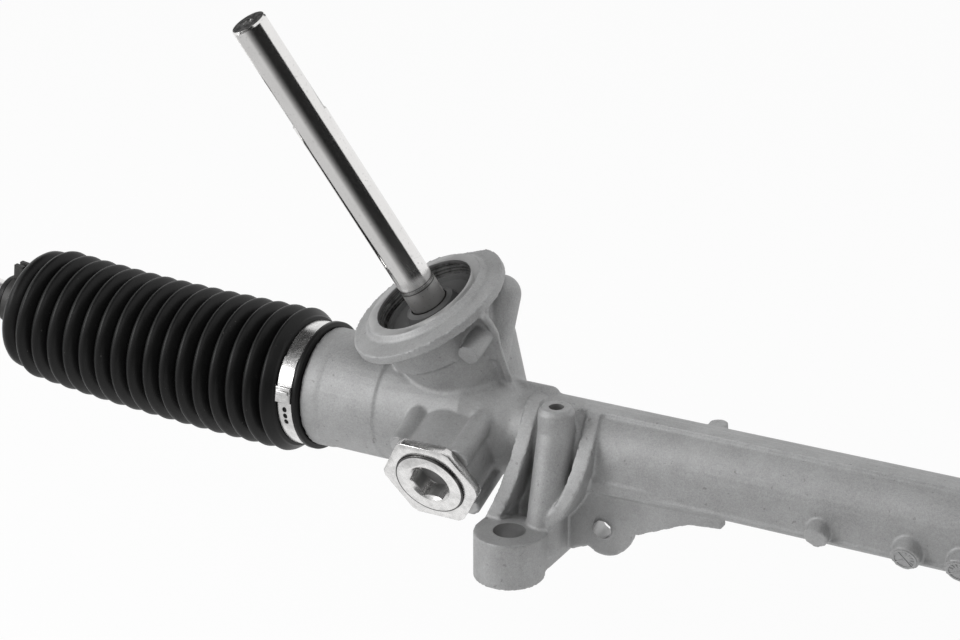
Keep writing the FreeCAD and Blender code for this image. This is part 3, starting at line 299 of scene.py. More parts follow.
class Finish(Graph):
    # A material on Principled BSDF. Constant values go on its own sockets.
    def __init__(self, name, constants):
        self.material = bpy.data.materials.new(name)
        super().__init__(self.material)
        self.shader = self.tree.nodes["Principled BSDF"]
        for key, value in constants.items():
            self.shader.inputs[key].default_value = value
        self.place = self.node("ShaderNodeTexCoord", output="Object")

    def give(self, key, value):
        self.feed(self.shader.inputs[key], value)

    def noise(self, grain, detail=3.0, roughness=0.55, stretch=None, place=None):
        # Noise whose features are about grain millimetres across.
        where = place or self.place
        if stretch:
            where = self.node("ShaderNodeMapping", {}, {0: where, "Scale": stretch})
        sockets = {"Vector": where, "Scale": 1000.0 / grain, "Detail": detail, "Roughness": roughness}
        return self.node("ShaderNodeTexNoise", {}, sockets)

    def aligned(self, axis):
        # Object coordinates turned so that z runs along the axis, from its origin.
        turn = axis.matrix.to_quaternion().inverted().to_euler()
        moved = axis.inverse.to_translation()
        sockets = {0: self.place, "Location": moved, "Rotation": turn}
        return self.node("ShaderNodeMapping", {"vector_type": "POINT"}, sockets)

    def heightOn(self, axis):
        # Millimetres along the axis from its origin.
        return self.node("ShaderNodeSeparateXYZ", {}, {0: self.aligned(axis)}, "Z") * 1000.0

    def radiusOn(self, axis):
        # Millimetres from the axis.
        place = self.aligned(axis)
        flat = self.node("ShaderNodeVectorMath", {"operation": "MULTIPLY"}, {0: place, 1: (1, 1, 0)})
        return self.node("ShaderNodeVectorMath", {"operation": "LENGTH"}, {0: flat}, "Value") * 1000.0

    def between(self, value, low, high):
        # Rises from 0 at low to 1 at high.
        return self.node("ShaderNodeMapRange", {}, {0: value, 1: low, 2: high})

    def ringAt(self, height, place, half):
        # 1 within half a width of a height, fading to 0 just outside.
        edge = half * 1.4
        above = self.between(height, place - edge, place - half)
        return above * self.between(height, place + edge, place + half)

    def glow(self, factor):
        # Blends the surface into plain white light.
        light = self.node("ShaderNodeEmission")
        surface = Flow(self, self.shader.outputs[0])
        blend = self.node("ShaderNodeMixShader", {}, {0: factor, 1: surface, 2: light})
        self.feed(self.tree.nodes["Material Output"].inputs["Surface"], blend)

    def relief(self, height, depth, strength=1.0):
        # Depth in millimetres between the lowest and the highest of the height.
        sockets = {"Strength": strength, "Distance": depth * mm, "Height": height}
        self.give("Normal", self.node("ShaderNodeBump", {}, sockets))


def grey(level, warmth=0.0):
    return (level * (1 + warmth), level, level * (1 - warmth), 1)


# Where the looks change, in millimetres. Pairs run from the edge of a change to its full strength.

# The tower's recess, between these heights, is darkened with painted shade.
recessShadeTop = (58.8, 57.4)  # on the pinion axis
recessShadeFoot = (30.0, 34.0)
shaftLook = {
    "rings": ((64.6, 0.22), (66.4, 0.16)),  # painted dark lines where the tower's rim is mirrored: height on the pinion axis, half width
    "satin": (68.5, 64.5),
    # A brown stain with painted shade, darker down into the tower's recess; below it, painted shade at the foot.
    "stain": (66.0, 56.0),
    "foot": (55.2, 54.6),
    "face": (0.12, 0.03),  # below the shaft's end
    "centre": (2.5, 2.1),  # radius of the drilled centre's painted shade
    "centreDepth": (5.0, 4.0),  # below the shaft's end, where that painted shade reaches
}
plugLook = {
    "socketDepth": (43.4, 42.0),  # on the yoke axis, for the socket's painted shade
    "socketRadius": (9.2, 8.6),
    "seam": (0.15, 0.4),  # middle of the dark seam, painted oil and shade, inside the plug's radius, half width
}


def castAluminium():
    # Shot-blasted skin: sandy grain with light and dark grains, faint clouding, and a few darker pits.
    finish = Finish("castAluminium", {"Metallic": 0.62, "Specular IOR Level": 0.4})
    grain = finish.noise(1.1, 4.0, 0.7)
    speckle = finish.noise(0.5, 2.0, 0.6)
    cloud = finish.noise(26.0, 4.0, 0.6)
    stain = finish.ramp(finish.noise(9.0, 5.0, 0.7), (0.42, 0.0), (0.72, 1.0))
    pits = finish.ramp(finish.noise(3.2, 2.0, 0.5), (0.0, 1.0), (0.26, 1.0), (0.30, 0.0))
    shade = finish.ramp(cloud * 0.3 + grain * 0.35 + speckle * 0.35, (0.32, 0.0), (0.66, 1.0))
    colour = finish.mix(shade, grey(0.285, -0.005), grey(0.49, -0.003))
    colour = finish.mix(stain * 0.22, colour, grey(0.22, 0.01))
    finish.give("Base Color", finish.mix(pits * 0.4, colour, grey(0.14, 0.03)))
    finish.give("Roughness", 0.5 + grain * 0.16 + cloud * 0.06)
    finish.relief(grain * 0.6 + speckle * 0.4, 0.2, 0.8)
    return finish.material


def machinedCasting():
    # Bores and faces cut into the casting. Inside the tower's recess the colour is darkened with painted shade.
    finish = Finish("machinedCasting", {"Metallic": 0.85})
    place = finish.aligned(pinionAxis)
    lines = finish.noise(3.0, 2.0, 0.5, (0.02, 0.02, 6.0), place)
    film = finish.noise(9.0, 3.0, 0.6)
    height = finish.heightOn(pinionAxis)
    inside = finish.between(height, *recessShadeTop) * finish.between(height, *recessShadeFoot)
    # Blotches and bands that vary the painted shade in the recess.
    shadeBlotches = finish.ramp(finish.noise(5.0, 4.0, 0.7), (0.45, 0.0), (0.6, 1.0))
    colour = finish.mix(film, grey(0.36), grey(0.54))
    colour = finish.mix(lines * 0.25, colour, grey(0.28))
    shadeBands = finish.ramp(finish.noise(2.4, 1.0, 0.5, (0.02, 0.02, 3.0), place), (0.44, 0.0), (0.52, 1.0))
    # Painted shade: the recess walls go towards near black.
    recessShade = inside * (0.3 + shadeBlotches * 0.3 + shadeBands * 0.35)
    finish.give("Base Color", finish.mix(recessShade, colour, grey(0.03, 0.05)))
    finish.give("Roughness", 0.28 + lines * 0.12 + film * 0.1 + inside * 0.12)
    finish.relief(lines, 0.03, 0.4)
    return finish.material


def groundSteel():
    # Bright bar with fine lengthwise polish and small dull specks. Its foot is satin, with a brown stain and
    # painted shade darkening it down into the tower's recess, and two painted dark lines where the tower's rim is
    # mirrored;
    # its end is dull, and its drilled centre is painted dark as shade.
    look = shaftLook
    finish = Finish("groundSteel", {"Metallic": 1.0})
    place = finish.aligned(pinionAxis)
    polish = finish.noise(0.5, 3.0, 0.6, (1.0, 1.0, 0.03), place)
    speck = finish.ramp(finish.noise(1.1, 2.0, 0.6), (0.0, 1.0), (0.3, 1.0), (0.36, 0.0))
    film = finish.noise(16.0, 3.0, 0.6)
    height = finish.heightOn(pinionAxis)
    # Two painted reflection lines: where the bar mirrors the edge of the tower's rim.
    first, second = [finish.ringAt(height, *ring) for ring in look["rings"]]
    satin = finish.between(height + film * 3.0, *look["satin"])
    # A light brown stain with painted shade where the bar mirrors the shadowed recess wall, and near black painted
    # shade at its foot.
    stain = finish.between(height + film * 5.0, *look["stain"]) * 0.3
    stain = stain.atLeast(finish.between(height, *look["foot"]) * 0.95)
    below = pinionAxis.reach("pinion_shaft")[1] / mm - height
    face = finish.between(below, *look["face"])
    # Painted shade inside the drilled centre.
    centre = finish.between(finish.radiusOn(pinionAxis), *look["centre"])
    centre = centre * finish.between(below, *look["centreDepth"])
    smudge = finish.ramp(finish.noise(2.6, 3.0, 0.7), (0.42, 0.0), (0.56, 1.0))
    colour = finish.mix(film, grey(0.7, 0.012), grey(0.84, 0.012))
    colour = finish.mix(speck * 0.4, colour, grey(0.3))
    # The bar browns and darkens with the stain and the painted shade.
    colour = finish.mix(stain, colour, grey(0.07, 0.08))
    colour = finish.mix(face * (0.6 + smudge * 0.35), colour, grey(0.07))
    # The drilled centre goes near black: painted shade.
    colour = finish.mix(centre * 0.9, colour, grey(0.02))
    # Last come the two painted reflection lines of the tower's rim.
    finish.give("Base Color", finish.mix((first + second) * 0.75, colour, grey(0.06, 0.05)))
    finish.give("Roughness", 0.1 + polish * 0.08 + speck * 0.1 + satin * 0.34 + face * 0.25)
    finish.relief(polish, 0.012, 0.35)
    return finish.material


def brightSteel(name="brightSteel", plug=False):
    # Pale zinc plate with soft brushing and handling marks. The plug's socket is dull and darkened with painted
    # shade, and a dark seam, painted as oil and shade in the gap, runs between the plug and its nut.
    finish = Finish(name, {"Metallic": 0.95})
    brushed = finish.noise(0.6, 3.0, 0.6, (0.1, 1.0, 1.0))
    marks = finish.ramp(finish.noise(5.0, 4.0, 0.7), (0.35, 0.0), (0.6, 1.0))
    colour = finish.mix(marks, grey(0.62, 0.008), grey(0.83, 0.008))
    rough = 0.17 + brushed * 0.1 + marks * 0.06
    if plug:
        radius = finish.radiusOn(yokeAxis)
        # Painted shade inside the plug's hex socket.
        socket = finish.between(finish.heightOn(yokeAxis), *plugLook["socketDepth"])
        socket = socket * finish.between(radius, *plugLook["socketRadius"])
        inset, half = plugLook["seam"]
        seam = finish.ringAt(radius, yokeAxis.reach("yoke_plug")[2] / mm - inset, half)
        # The socket is darkened by the painted shade.
        colour = finish.mix(socket * 0.7, colour, grey(0.1))
        # The seam is painted dark: oil and shade in the gap between plug and nut.
        colour = finish.mix(seam * 0.9, colour, grey(0.03))
        rough = rough + socket * 0.3
    finish.give("Base Color", colour)
    finish.give("Roughness", rough)
    finish.relief(brushed, 0.008, 0.4)
    return finish.material


def bearingSteel():
    finish = Finish("bearingSteel", {"Metallic": 1.0})
    film = finish.noise(4.0, 3.0, 0.6)
    finish.give("Base Color", finish.mix(film, grey(0.56), grey(0.68)))
    finish.give("Roughness", 0.12 + film * 0.1)
    return finish.material


def darkSteel():
    # Phosphated spring steel: near black, with a dry uneven film.
    finish = Finish("darkSteel", {"Metallic": 0.6})
    film = finish.noise(2.4, 4.0, 0.65)
    finish.give("Base Color", finish.mix(film, grey(0.025), grey(0.075, 0.02)))
    finish.give("Roughness", 0.42 + film * 0.2)
    finish.relief(film, 0.03, 0.5)
    return finish.material


def turnedAluminium():
    finish = Finish("turnedAluminium", {"Metallic": 0.95})
    lines = finish.noise(0.5, 2.0, 0.5, (1.0, 0.2, 0.2))
    finish.give("Base Color", finish.mix(lines, grey(0.56), grey(0.7)))
    finish.give("Roughness", 0.28 + lines * 0.15)
    finish.relief(lines, 0.02, 0.4)
    return finish.material


def blackRubber(name="blackRubber", pale=0.0):
    # Moulded rubber: even soft sheen, a fine skin, rare pale dust.
    finish = Finish(name, {"Specular IOR Level": 0.2})
    skin = finish.noise(0.45, 3.0, 0.6)
    haze = finish.noise(14.0, 4.0, 0.6)
    dust = finish.ramp(finish.noise(1.7, 2.0, 0.7), (0.0, 0.0), (0.735, 0.0), (0.76, 1.0))
    colour = finish.mix(haze, grey(0.004 + pale), grey(0.010 + pale))
    finish.give("Base Color", finish.mix(dust * 0.5, colour, grey(0.16, 0.03)))
    finish.give("Roughness", 0.3 + haze * 0.12 + skin * 0.06)
    finish.relief(skin, 0.025, 0.5)
    return finish.material


def palePlastic():
    finish = Finish("palePlastic", {"Specular IOR Level": 0.45})
    haze = finish.noise(3.0, 3.0, 0.6)
    finish.give("Base Color", finish.mix(haze, (0.58, 0.55, 0.47, 1), (0.68, 0.65, 0.57, 1)))
    finish.give("Roughness", 0.4 + haze * 0.12)
    finish.relief(haze, 0.02, 0.4)
    return finish.material


finishes = {
    "cast_aluminium": castAluminium(),
    "turned_aluminium": turnedAluminium(),
    "ground_steel": groundSteel(),
    "bright_steel": brightSteel(),
    "bearing_steel": bearingSteel(),
    "dark_steel": darkSteel(),
    "black_rubber": blackRubber(),
    "pale_plastic": palePlastic(),
}
machinedFinish = machinedCasting()
plugFinish = brightSteel("plugSteel", plug=True)
sealFinish = blackRubber("sealRubber", pale=0.075)


def makeWorld():
    # Even white surroundings, dimmer where they only light the object.
    world = bpy.data.worlds.new("studio")
    bpy.context.scene.world = world
    graph = Graph(world)
    seen = graph.onPath()
    background = graph.tree.nodes["Background"]
    background.inputs["Color"].default_value = (1, 1, 1, 1)
    graph.feed(background.inputs["Strength"], seen * (1 - studio["ambient"]) + studio["ambient"])


def makeFloor():
    half = studio["floorSize"] / 2 * mm
    bm = bmesh.new()
    bmesh.ops.create_grid(bm, x_segments=1, y_segments=1, size=half)
    height = cadBox[0][2] - studio["floorDrop"] * mm
    bmesh.ops.translate(bm, verts=bm.verts, vec=(0, 0, height))
    floor = linked("floor", meshOf("floor", bm))
    paper = Finish("paper", {"Base Color": grey(studio["floorWhite"]), "Roughness": 0.9})
    paper.glow(paper.onPath() * studio["floorGlow"])
    floor.data.materials.append(paper.material)


bpy.context.scene.view_settings.view_transform = "Standard"
makeCamera()
makeLamp("softbox")
makeLamp("sideLamp")
makeWorld()
makeFloor()
makeBentCard("shaftCard")
makeCard("topCard")
print("camera, lamps and floor set")

for part in frame["record"]["subparts"]:
    item = nodes[part["node"]]
    item.data.materials.clear()
    item.data.materials.append(finishes[part["material_slot"]])
nodes["pinion_seal"].data.materials[0] = sealFinish


# Building helpers. Their sizes are in millimetres.

def stepsFrom(radius, height, steps):
    # Places of (radius, height), given as steps from one place.
    return [(radius + out, height + along) for out, along in steps]


def spun(bm, profile, steps, closed=True):
    # Turns a profile of (radius, height) about z. A closed profile is a ring's section.
    verts = [bm.verts.new((radius * mm, 0, height * mm)) for radius, height in profile]
    pairs = list(zip(verts, verts[1:]))
    if closed:
        pairs.append((verts[-1], verts[0]))
    edges = [bm.edges.new(pair) for pair in pairs]
    bmesh.ops.spin(bm, geom=verts + edges, cent=(0, 0, 0), axis=(0, 0, 1), angle=2 * math.pi,
                   steps=steps, use_merge=True, use_duplicate=False)


def finished(name, bm, body, slotName, matrix=None, smoothAngle=38.0):
    # Welds and places the mesh, gives it its finish, and lets it move with its body.
    if matrix:
        bm.transform(matrix)
    bmesh.ops.remove_doubles(bm, verts=bm.verts, dist=weldDistance)
    bmesh.ops.recalc_face_normals(bm, faces=bm.faces)
    item = linked(name, meshOf(name, bm))
    item.data.materials.append(finishes[slotName])
    item.data.shade_smooth()
    item.data.set_sharp_from_angle(angle=math.radians(smoothAngle))
    if body:
        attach(item, body)
    return item


def nodeMesh(node):
    # A welded copy of a CAD node's mesh.
    bm = bmesh.new()
    bm.from_mesh(nodes[node].data)
    bmesh.ops.remove_doubles(bm, verts=bm.verts, dist=nodeWeldDistance)
    return bm


def softened(node, name, width, slotName, body, sharper=32.0):
    # The CAD piece with its hard edges broken.
    bm = nodeMesh(node)
    bmesh.ops.dissolve_limit(bm, angle_limit=0.004, verts=bm.verts, edges=bm.edges)
    hard = [edge for edge in bm.edges if len(edge.link_faces) == 2
            and edge.calc_face_angle(0) > math.radians(sharper)]
    bmesh.ops.bevel(bm, geom=hard, offset=width * mm, offset_type="OFFSET", segments=2, profile=0.5,
                    affect="EDGES", clamp_overlap=True, material=-1)
    item = finished(name, bm, body, slotName)
    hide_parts(node)
    return item


def modify(item, kind, **settings):
    modifier = item.modifiers.new(kind.lower(), kind)
    for key, value in settings.items():
        setattr(modifier, key, value)


def bake(item):
    # The mesh becomes what its modifiers make of it.
    graph = bpy.context.evaluated_depsgraph_get()
    made = bpy.data.meshes.new_from_object(item.evaluated_get(graph))
    old = item.data
    item.modifiers.clear()
    item.data = made
    bpy.data.meshes.remove(old)


def cutAway(item, bm, solver="EXACT"):
    # Takes the volume of a closed mesh out of the item.
    cutter = linked("cutter", meshOf("cutter", bm))
    for material in item.data.materials:
        cutter.data.materials.append(material)
    modify(item, "BOOLEAN", operation="DIFFERENCE", solver=solver, material_mode="INDEX", object=cutter)
    bake(item)
    bpy.data.objects.remove(cutter)


def addTo(bm, other):
    mesh = meshOf("other", other)
    bm.from_mesh(mesh)
    bpy.data.meshes.remove(mesh)


def peg(radius, length, steps):
    # A closed cylinder along z, with its middle at the origin.
    bm = bmesh.new()
    bmesh.ops.create_cone(bm, cap_ends=True, segments=steps, radius1=radius * mm, radius2=radius * mm,
                          depth=length * mm)
    return bm


def cylinder(axis, radius, start, end, steps, index=0):
    # A closed cylinder along an axis, with the material of that index.
    bm = peg(radius, end - start, steps)
    bmesh.ops.translate(bm, verts=bm.verts, vec=(0, 0, (start + end) / 2 * mm))
    bm.transform(axis.matrix)
    for face in bm.faces:
        face.material_index = index
    return bm


# The casting: the CAD solid with its holes filled is skinned and rounded like a moulding, and the
# holes and cut faces are then machined into it.

casting = {
    "voxel": 0.65,
    "eased": (20.0, 1, 6),  # angle of an inside corner, rings of points about it, smoothing rounds
    "easedBody": (12.0, 3, 16),  # the same about the foot of the tower and of the barrel
    "bodyReach": (30.0, 31.0, 15.0),  # end of that stretch across, up the tower and out the barrel
    "smoothing": 2,
    "sharpAngle": 34,
    "triangles": 185000,
    "steps": 96,
    "fillingSteps": 48,
    "overfill": 0.15,
    "fillingInset": (1.0, 2.2),  # fillings start and end this far inside their holes
    "overrun": 2.0,  # cutters run this far out of through holes
    "skim": 0.04,  # cut faces lie this much under the moulded ones
    "rackBore": (12.7, 5.0, 22.0),  # radius, depth and radius of the end counterbores
    "bushBore": (16.1, 281.0, 308.0),  # radius, start and end, as in the holes that follow
    "tower": ((11.1, -16.5, 24.0), (20.0, 23.0, 59.0), (22.0, 45.5, 57.5), (23.5, 51.5, 61.0),
              (24.3, 55.6, 56.8)),
    "needleBore": (-34.0, -16.0),
    "barrel": ((15.0, 0.0, 29.5), (16.2, 29.0, 41.0)),
    "boltRadius": 7.1,
    "lugHeight": 21.0,
    "gussetHole": (4.2, -7.0, 7.0),
    "screwHole": (3.3, -7.5, 9.0),
    "rimFace": (31.0, 59.1, 65.1),  # radius of the cut, the face and the end of the stock
    "barrelFace": (24.0, 38.6, 43.6),
    "lugFace": (26.0, -6.0, 0.0),  # radius of the cut, the end of the stock and the face
    "webLine": ((-204.2, 21.6, 106.8), (-204.6, 26.8, 102.4), (-203.9, 31.2, 95.9),
                (-204.6, 34.8, 88.4), (-203.6, 36.2, 82.7), (-202.4, 38.3, 76.3),
                (-201.4, 40.6, 70.0), (-199.0, 39.0, 67.6)),  # in the frame, along the tower's web
    "webRadius": 1.7,
    "webSteps": 20,
    "crispWeb": 4.5,  # corners this close to the web's line or the screw boss stay crisp
    "crispBoss": 8.5,
    "collar": ((23.5, 280.0), (25.2, 280.0), (26.4, 283.5), (27.2, 287.5), (27.4, 294.7), (23.5, 294.7)),
}


def lugAxes():
    across = abs(mounts["left_lug_face"]["pos_m"][0])
    return [Axis((side * across, 0, 0), (0, 0, 1), (0, 1, 0)) for side in (-1, 1)]


def holesOfCasting():
    # Axis, radius, start and end of every hole.
    past = casting["overrun"]
    half = rackAxis.reach("rack_housing")[1] / mm
    radius, depth, wide = casting["rackBore"]
    holes = [(rackAxis, radius, -half - past, half + past), (rackAxis, wide, half - depth, half + past),
             (rackAxis, wide, -half - past, depth - half), (rackAxis, *casting["bushBore"])]
    holes += [(pinionAxis, *bore) for bore in casting["tower"]]
    holes.append((pinionAxis, pinionAxis.reach("needle_cup")[2] / mm, *casting["needleBore"]))
    holes += [(yokeAxis, *bore) for bore in casting["barrel"]]
    holes += [(axis, casting["boltRadius"], -past, casting["lugHeight"] + past) for axis in lugAxes()]
    gusset = mounts["gusset_hole"]
    holes.append((Axis(gusset["pos_m"], gusset["axis"]), *casting["gussetHole"]))
    screw = mounts["screw_boss"]
    holes.append((Axis(screw["pos_m"], screw["axis"], (0, 1, 0)), *casting["screwHole"]))
    return holes


def facesOfCasting():
    # Axis, radius, start and end of each face cut: the stock past the face goes.
    skim = casting["skim"]
    cuts = []
    for axis, key in ((pinionAxis, "rimFace"), (yokeAxis, "barrelFace")):
        radius, face, end = casting[key]
        cuts.append((axis, radius, face - skim, end))
    radius, start, face = casting["lugFace"]
    return cuts + [(axis, radius, start, face + skim) for axis in lugAxes()]


def onBody(place):
    # Whether a place lies about the foot of the tower and of the barrel, clear of the web and the boss.
    across, up, out = casting["bodyReach"]
    if abs(place.x - crossing.x) > across * mm or pinionAxis.local(place).z > up * mm:
        return False
    if yokeAxis.local(place).z > out * mm:
        return False
    screw = Vector(mounts["screw_boss"]["pos_m"])
    if (place - screw).length < casting["crispBoss"] * mm:
        return False
    return all((place - Vector(point) * mm).length > casting["crispWeb"] * mm for point in casting["webLine"])


def easeCorners(bm, angle, rings, rounds, test=None):
    # Fillets the inside corners sharper than the angle by smoothing them and the points about them.
    chosen = set()
    for edge in bm.edges:
        if edge.is_manifold and edge.calc_face_angle_signed(0) < -math.radians(angle):
            if test is None or test(edge.verts[0].co):
                chosen.update(edge.verts)
    for ring in range(rings):
        chosen.update([edge.other_vert(vertex) for vertex in list(chosen) for edge in vertex.link_edges])
    if test:
        chosen = {vertex for vertex in chosen if test(vertex.co)}
    verts = sorted(chosen, key=lambda vertex: vertex.index)
    for turn in range(rounds):
        bmesh.ops.smooth_vert(bm, verts=verts, factor=0.5, use_axis_x=True, use_axis_y=True, use_axis_z=True)


def addWeb(bm):
    # The raised line along the tower's web, as a chain of round rods.
    radius = casting["webRadius"]
    points = [Vector(point) * mm for point in casting["webLine"]]
    for point, after in zip(points, points[1:]):
        rod = after - point
        addTo(bm, cylinder(Axis(point, rod), radius, 0, rod.length / mm, casting["webSteps"]))
    for point in points:
        ball = bmesh.new()
        bmesh.ops.create_icosphere(ball, subdivisions=3, radius=radius * mm)
        bmesh.ops.translate(ball, verts=ball.verts, vec=point)
        addTo(bm, ball)


def addCollars(bm):
    # The sleeves swell a little up to the lips of the boots.
    for axis in endAxes.values():
        ring = bmesh.new()
        spun(ring, casting["collar"], casting["steps"])
        bmesh.ops.recalc_face_normals(ring, faces=ring.faces)
        ring.transform(axis.matrix)
        addTo(bm, ring)


def makeCasting():
    bm = nodeMesh("rack_housing")
    first, last = casting["fillingInset"]
    for axis, radius, start, end in holesOfCasting():
        radius += casting["overfill"]
        addTo(bm, cylinder(axis, radius, start + first, end - last, casting["fillingSteps"]))
    addWeb(bm)
    addCollars(bm)
    mesh = meshOf("rackHousing", bm)
    pattern = linked("pattern", mesh)
    item = linked("rackHousing", mesh.copy())
    # The skin is drawn back onto the pattern, which takes the steps out of it.
    modify(item, "REMESH", mode="VOXEL", voxel_size=casting["voxel"] * mm)
    modify(item, "SHRINKWRAP", wrap_method="NEAREST_SURFACEPOINT", target=pattern)
    bake(item)
    bpy.data.objects.remove(pattern)
    print("casting skinned:", len(item.data.polygons))
    bm = bmesh.new()
    bm.from_mesh(item.data)
    easeCorners(bm, *casting["eased"])
    easeCorners(bm, *casting["easedBody"], onBody)
    bm.to_mesh(item.data)
    bm.free()
    modify(item, "SMOOTH", factor=0.5, iterations=casting["smoothing"])
    modify(item, "DECIMATE", ratio=min(1.0, casting["triangles"] / (2 * len(item.data.polygons))))
    bake(item)
    item.data.materials.clear()
    item.data.materials.append(finishes["cast_aluminium"])
    item.data.materials.append(machinedFinish)
    print("casting rounded:", len(item.data.polygons))
    for cut in holesOfCasting() + facesOfCasting():
        cutAway(item, cylinder(*cut, casting["steps"], 1), "MANIFOLD")
    item.data.shade_smooth()
    item.data.set_sharp_from_angle(angle=math.radians(casting["sharpAngle"]))
    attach(item, "housing")
    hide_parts("rack_housing")
    print("casting machined:", len(item.data.polygons))


makeCasting()


# Boots. Each is one rubber moulding in two stretches: collar and long bellows, then the last
# ridges with the neck.

bellows = {
    "lip": 295.1,  # from the rack's middle
    "seatRadius": 25.5,
    "lipRadius": 29.7,
    "grooveStart": 297.9,
    "grooveEnd": 306.1,
    "grooveRadius": 28.1,
    "rimRadius": 30.4,
    "seatEnd": 307.4,
    "firstCrest": 311.3,
    "pitch": 9.25,
    "ridges": 17,
    "crestRadius": 33.5,
    "endCrestRadius": 31.9,
    "lastDrop": 2.4,  # how much less the last crest stands out
    "valleyRadius": 26.4,
    "wall": 1.5,
    "splitValley": 13,  # the valley, counted from the first crest, where the stretches meet
    "neckRadius": 10.8,
    "neckBore": 7.35,
    "neckLength": 16.0,
    "rodGrip": 4.0,  # past the last valley
    "steps": 112,
    "perRidge": 14,
    "sharpAngle": 60.0,
    # Outlines, as steps of (radius, height) from the size that each is named after.
    "lipBevel": 0.5,
    "lipEdge": ((-0.5, 0.0), (0.0, 0.5)),
    "grooveEdge": ((0.0, -0.3), (-0.3, 0.0)),
    "rim": ((-0.4, 0.0), (0.0, 0.4), (0.1, 1.2), (0.4, 1.6)),
    "firstRise": ((-0.7, -1.4), (-0.2, -0.6)),
    "seat": ((2.4, 0.9), (0.3, 0.0), (0.0, -0.3)),
    "lastFall": ((-0.25, 1.4), (-1.4, 3.0), (-4.2, 4.4)),
    "neck": ((2.6, 2.2), (0.7, 3.4), (0.0, 5.0), (0.0, 5.6), (0.8, 6.0), (0.8, 6.7), (-0.1, 7.1)),
    "tip": ((-0.1, -3.4), (0.9, -3.0), (0.9, -0.7), (0.4, 0.0)),
    "mouth": ((0.6, 0.0), (0.0, -0.5)),
    "curl": ((1.0, 1.4),),  # halfway between the last crest and the neck
    "innerNeck": (2.4, 0.6, -0.4),  # heights inside the neck, at its bore, its radius and halfway
    "innerFall": ((-5.2, 2.9), (-2.6, 1.9), (-1.7, 0.8)),
}


def ridgeOuter(height):
    # Outer radius of the bellows: broad round crests and narrow valleys.
    run = (height - bellows["firstCrest"]) / bellows["pitch"]
    last = bellows["ridges"] - 1
    crest = bellows["crestRadius"] + (bellows["endCrestRadius"] - bellows["crestRadius"]) * run / last
    if run > last - 0.5:
        crest -= bellows["lastDrop"]
    wave = abs(math.cos(math.pi * run)) ** 0.85
    return bellows["valleyRadius"] + (crest - bellows["valleyRadius"]) * wave


def bootProfiles():
    # Two closed sections of (radius, height): the long stretch, then the neck stretch.
    boot = bellows
    pitch = boot["pitch"]
    split = boot["firstCrest"] + (boot["splitValley"] + 0.5) * pitch
    lastCrest = boot["firstCrest"] + (boot["ridges"] - 1) * pitch
    end = lastCrest + 0.5 * pitch
    tip = end + boot["neckLength"]

    def wall(start, stop, inset=0.0):
        count = round((stop - start) / pitch * boot["perRidge"])
        heights = [start + (stop - start) * step / count for step in range(count + 1)]
        return [(ridgeOuter(height) - inset, height) for height in heights]

    long = [(boot["seatRadius"] + boot["lipBevel"], boot["lip"])]
    long += stepsFrom(boot["lipRadius"], boot["lip"], boot["lipEdge"])
    long += stepsFrom(boot["lipRadius"], boot["grooveStart"], boot["grooveEdge"])
    long += [(boot["grooveRadius"], boot["grooveStart"]), (boot["grooveRadius"], boot["grooveEnd"])]
    long += stepsFrom(boot["rimRadius"], boot["grooveEnd"], boot["rim"])
    long += stepsFrom(boot["crestRadius"], boot["firstCrest"], boot["firstRise"])
    long += wall(boot["firstCrest"], split)
    long += wall(boot["firstCrest"], split, boot["wall"])[::-1]
    long += stepsFrom(boot["seatRadius"], boot["seatEnd"], boot["seat"])
    long.append((boot["seatRadius"], boot["lip"] + boot["lipBevel"]))
    # Past the last crest the wall curls in to the neck.
    neck = wall(split, lastCrest)
    drop = neck[-1][0]
    halfway = (drop + boot["neckRadius"]) / 2
    neck += stepsFrom(drop, lastCrest, boot["lastFall"])
    neck += stepsFrom(halfway, end, boot["curl"])
    neck += stepsFrom(boot["neckRadius"], end, boot["neck"])
    neck += stepsFrom(boot["neckRadius"], tip, boot["tip"])
    neck += stepsFrom(boot["neckBore"], tip, boot["mouth"])
    radii = (boot["neckBore"], boot["neckRadius"], halfway)
    neck += [(radius, end + height) for radius, height in zip(radii, boot["innerNeck"])]
    neck += stepsFrom(drop, lastCrest, boot["innerFall"])
    neck += wall(split, lastCrest, boot["wall"])[::-1]
    return long, neck, split, end


def bentBoot(bm, start, end, reachToBall, slope):
    # Lifts the straight bellows so that the neck ends on the raised tie rod.
    length = (end - start) * mm
    rise = (end - reachToBall) * mm * math.tan(slope)
    steep = math.tan(slope) * length
    cubic = steep - 2 * rise
    square = rise - cubic
    for vertex in bm.verts:
        x, y, z = vertex.co
        share = min(max((z - start * mm) / length, 0.0), 1.0)
        past = max(z - end * mm, 0.0)
        centre = square * share ** 2 + cubic * share ** 3
        tilt = math.atan((2 * square * share + 3 * cubic * share ** 2) / length)
        height = min(z, end * mm)
        vertex.co = Vector((centre + past * math.sin(tilt) + x * math.cos(tilt), y,
                            height + past * math.cos(tilt) - x * math.sin(tilt)))


def makeBoot(name):
    axis = endAxes[name]
    longSection, neckSection, split, end = bootProfiles()
    ball = abs(rodAxes[name].origin.x) / mm
    along = rodAxes[name].along
    slope = math.atan2(along.z, abs(along.x))
    start = bellows["firstCrest"] - bellows["pitch"] / 2
    pieces = []
    for label, section in (("Boot", longSection), ("BootNeck", neckSection)):
        bm = bmesh.new()
        spun(bm, section, bellows["steps"])
        bentBoot(bm, start, end, ball, slope)
        piece = finished(name + label, bm, None, "black_rubber", axis.matrix, bellows["sharpAngle"])
        pieces.append(piece)
    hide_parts(name + "_boot")
    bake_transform(pieces[0], "housing", "rack", axis.point(start * mm), axis.point(split * mm))
    past = end + bellows["rodGrip"]
    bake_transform(pieces[1], "rack", name + "_rod", axis.point(split * mm), axis.point(past * mm))


for endName in ("left", "right"):
    makeBoot(endName)
print("boots made")


# Nuts and plug with broken edges.

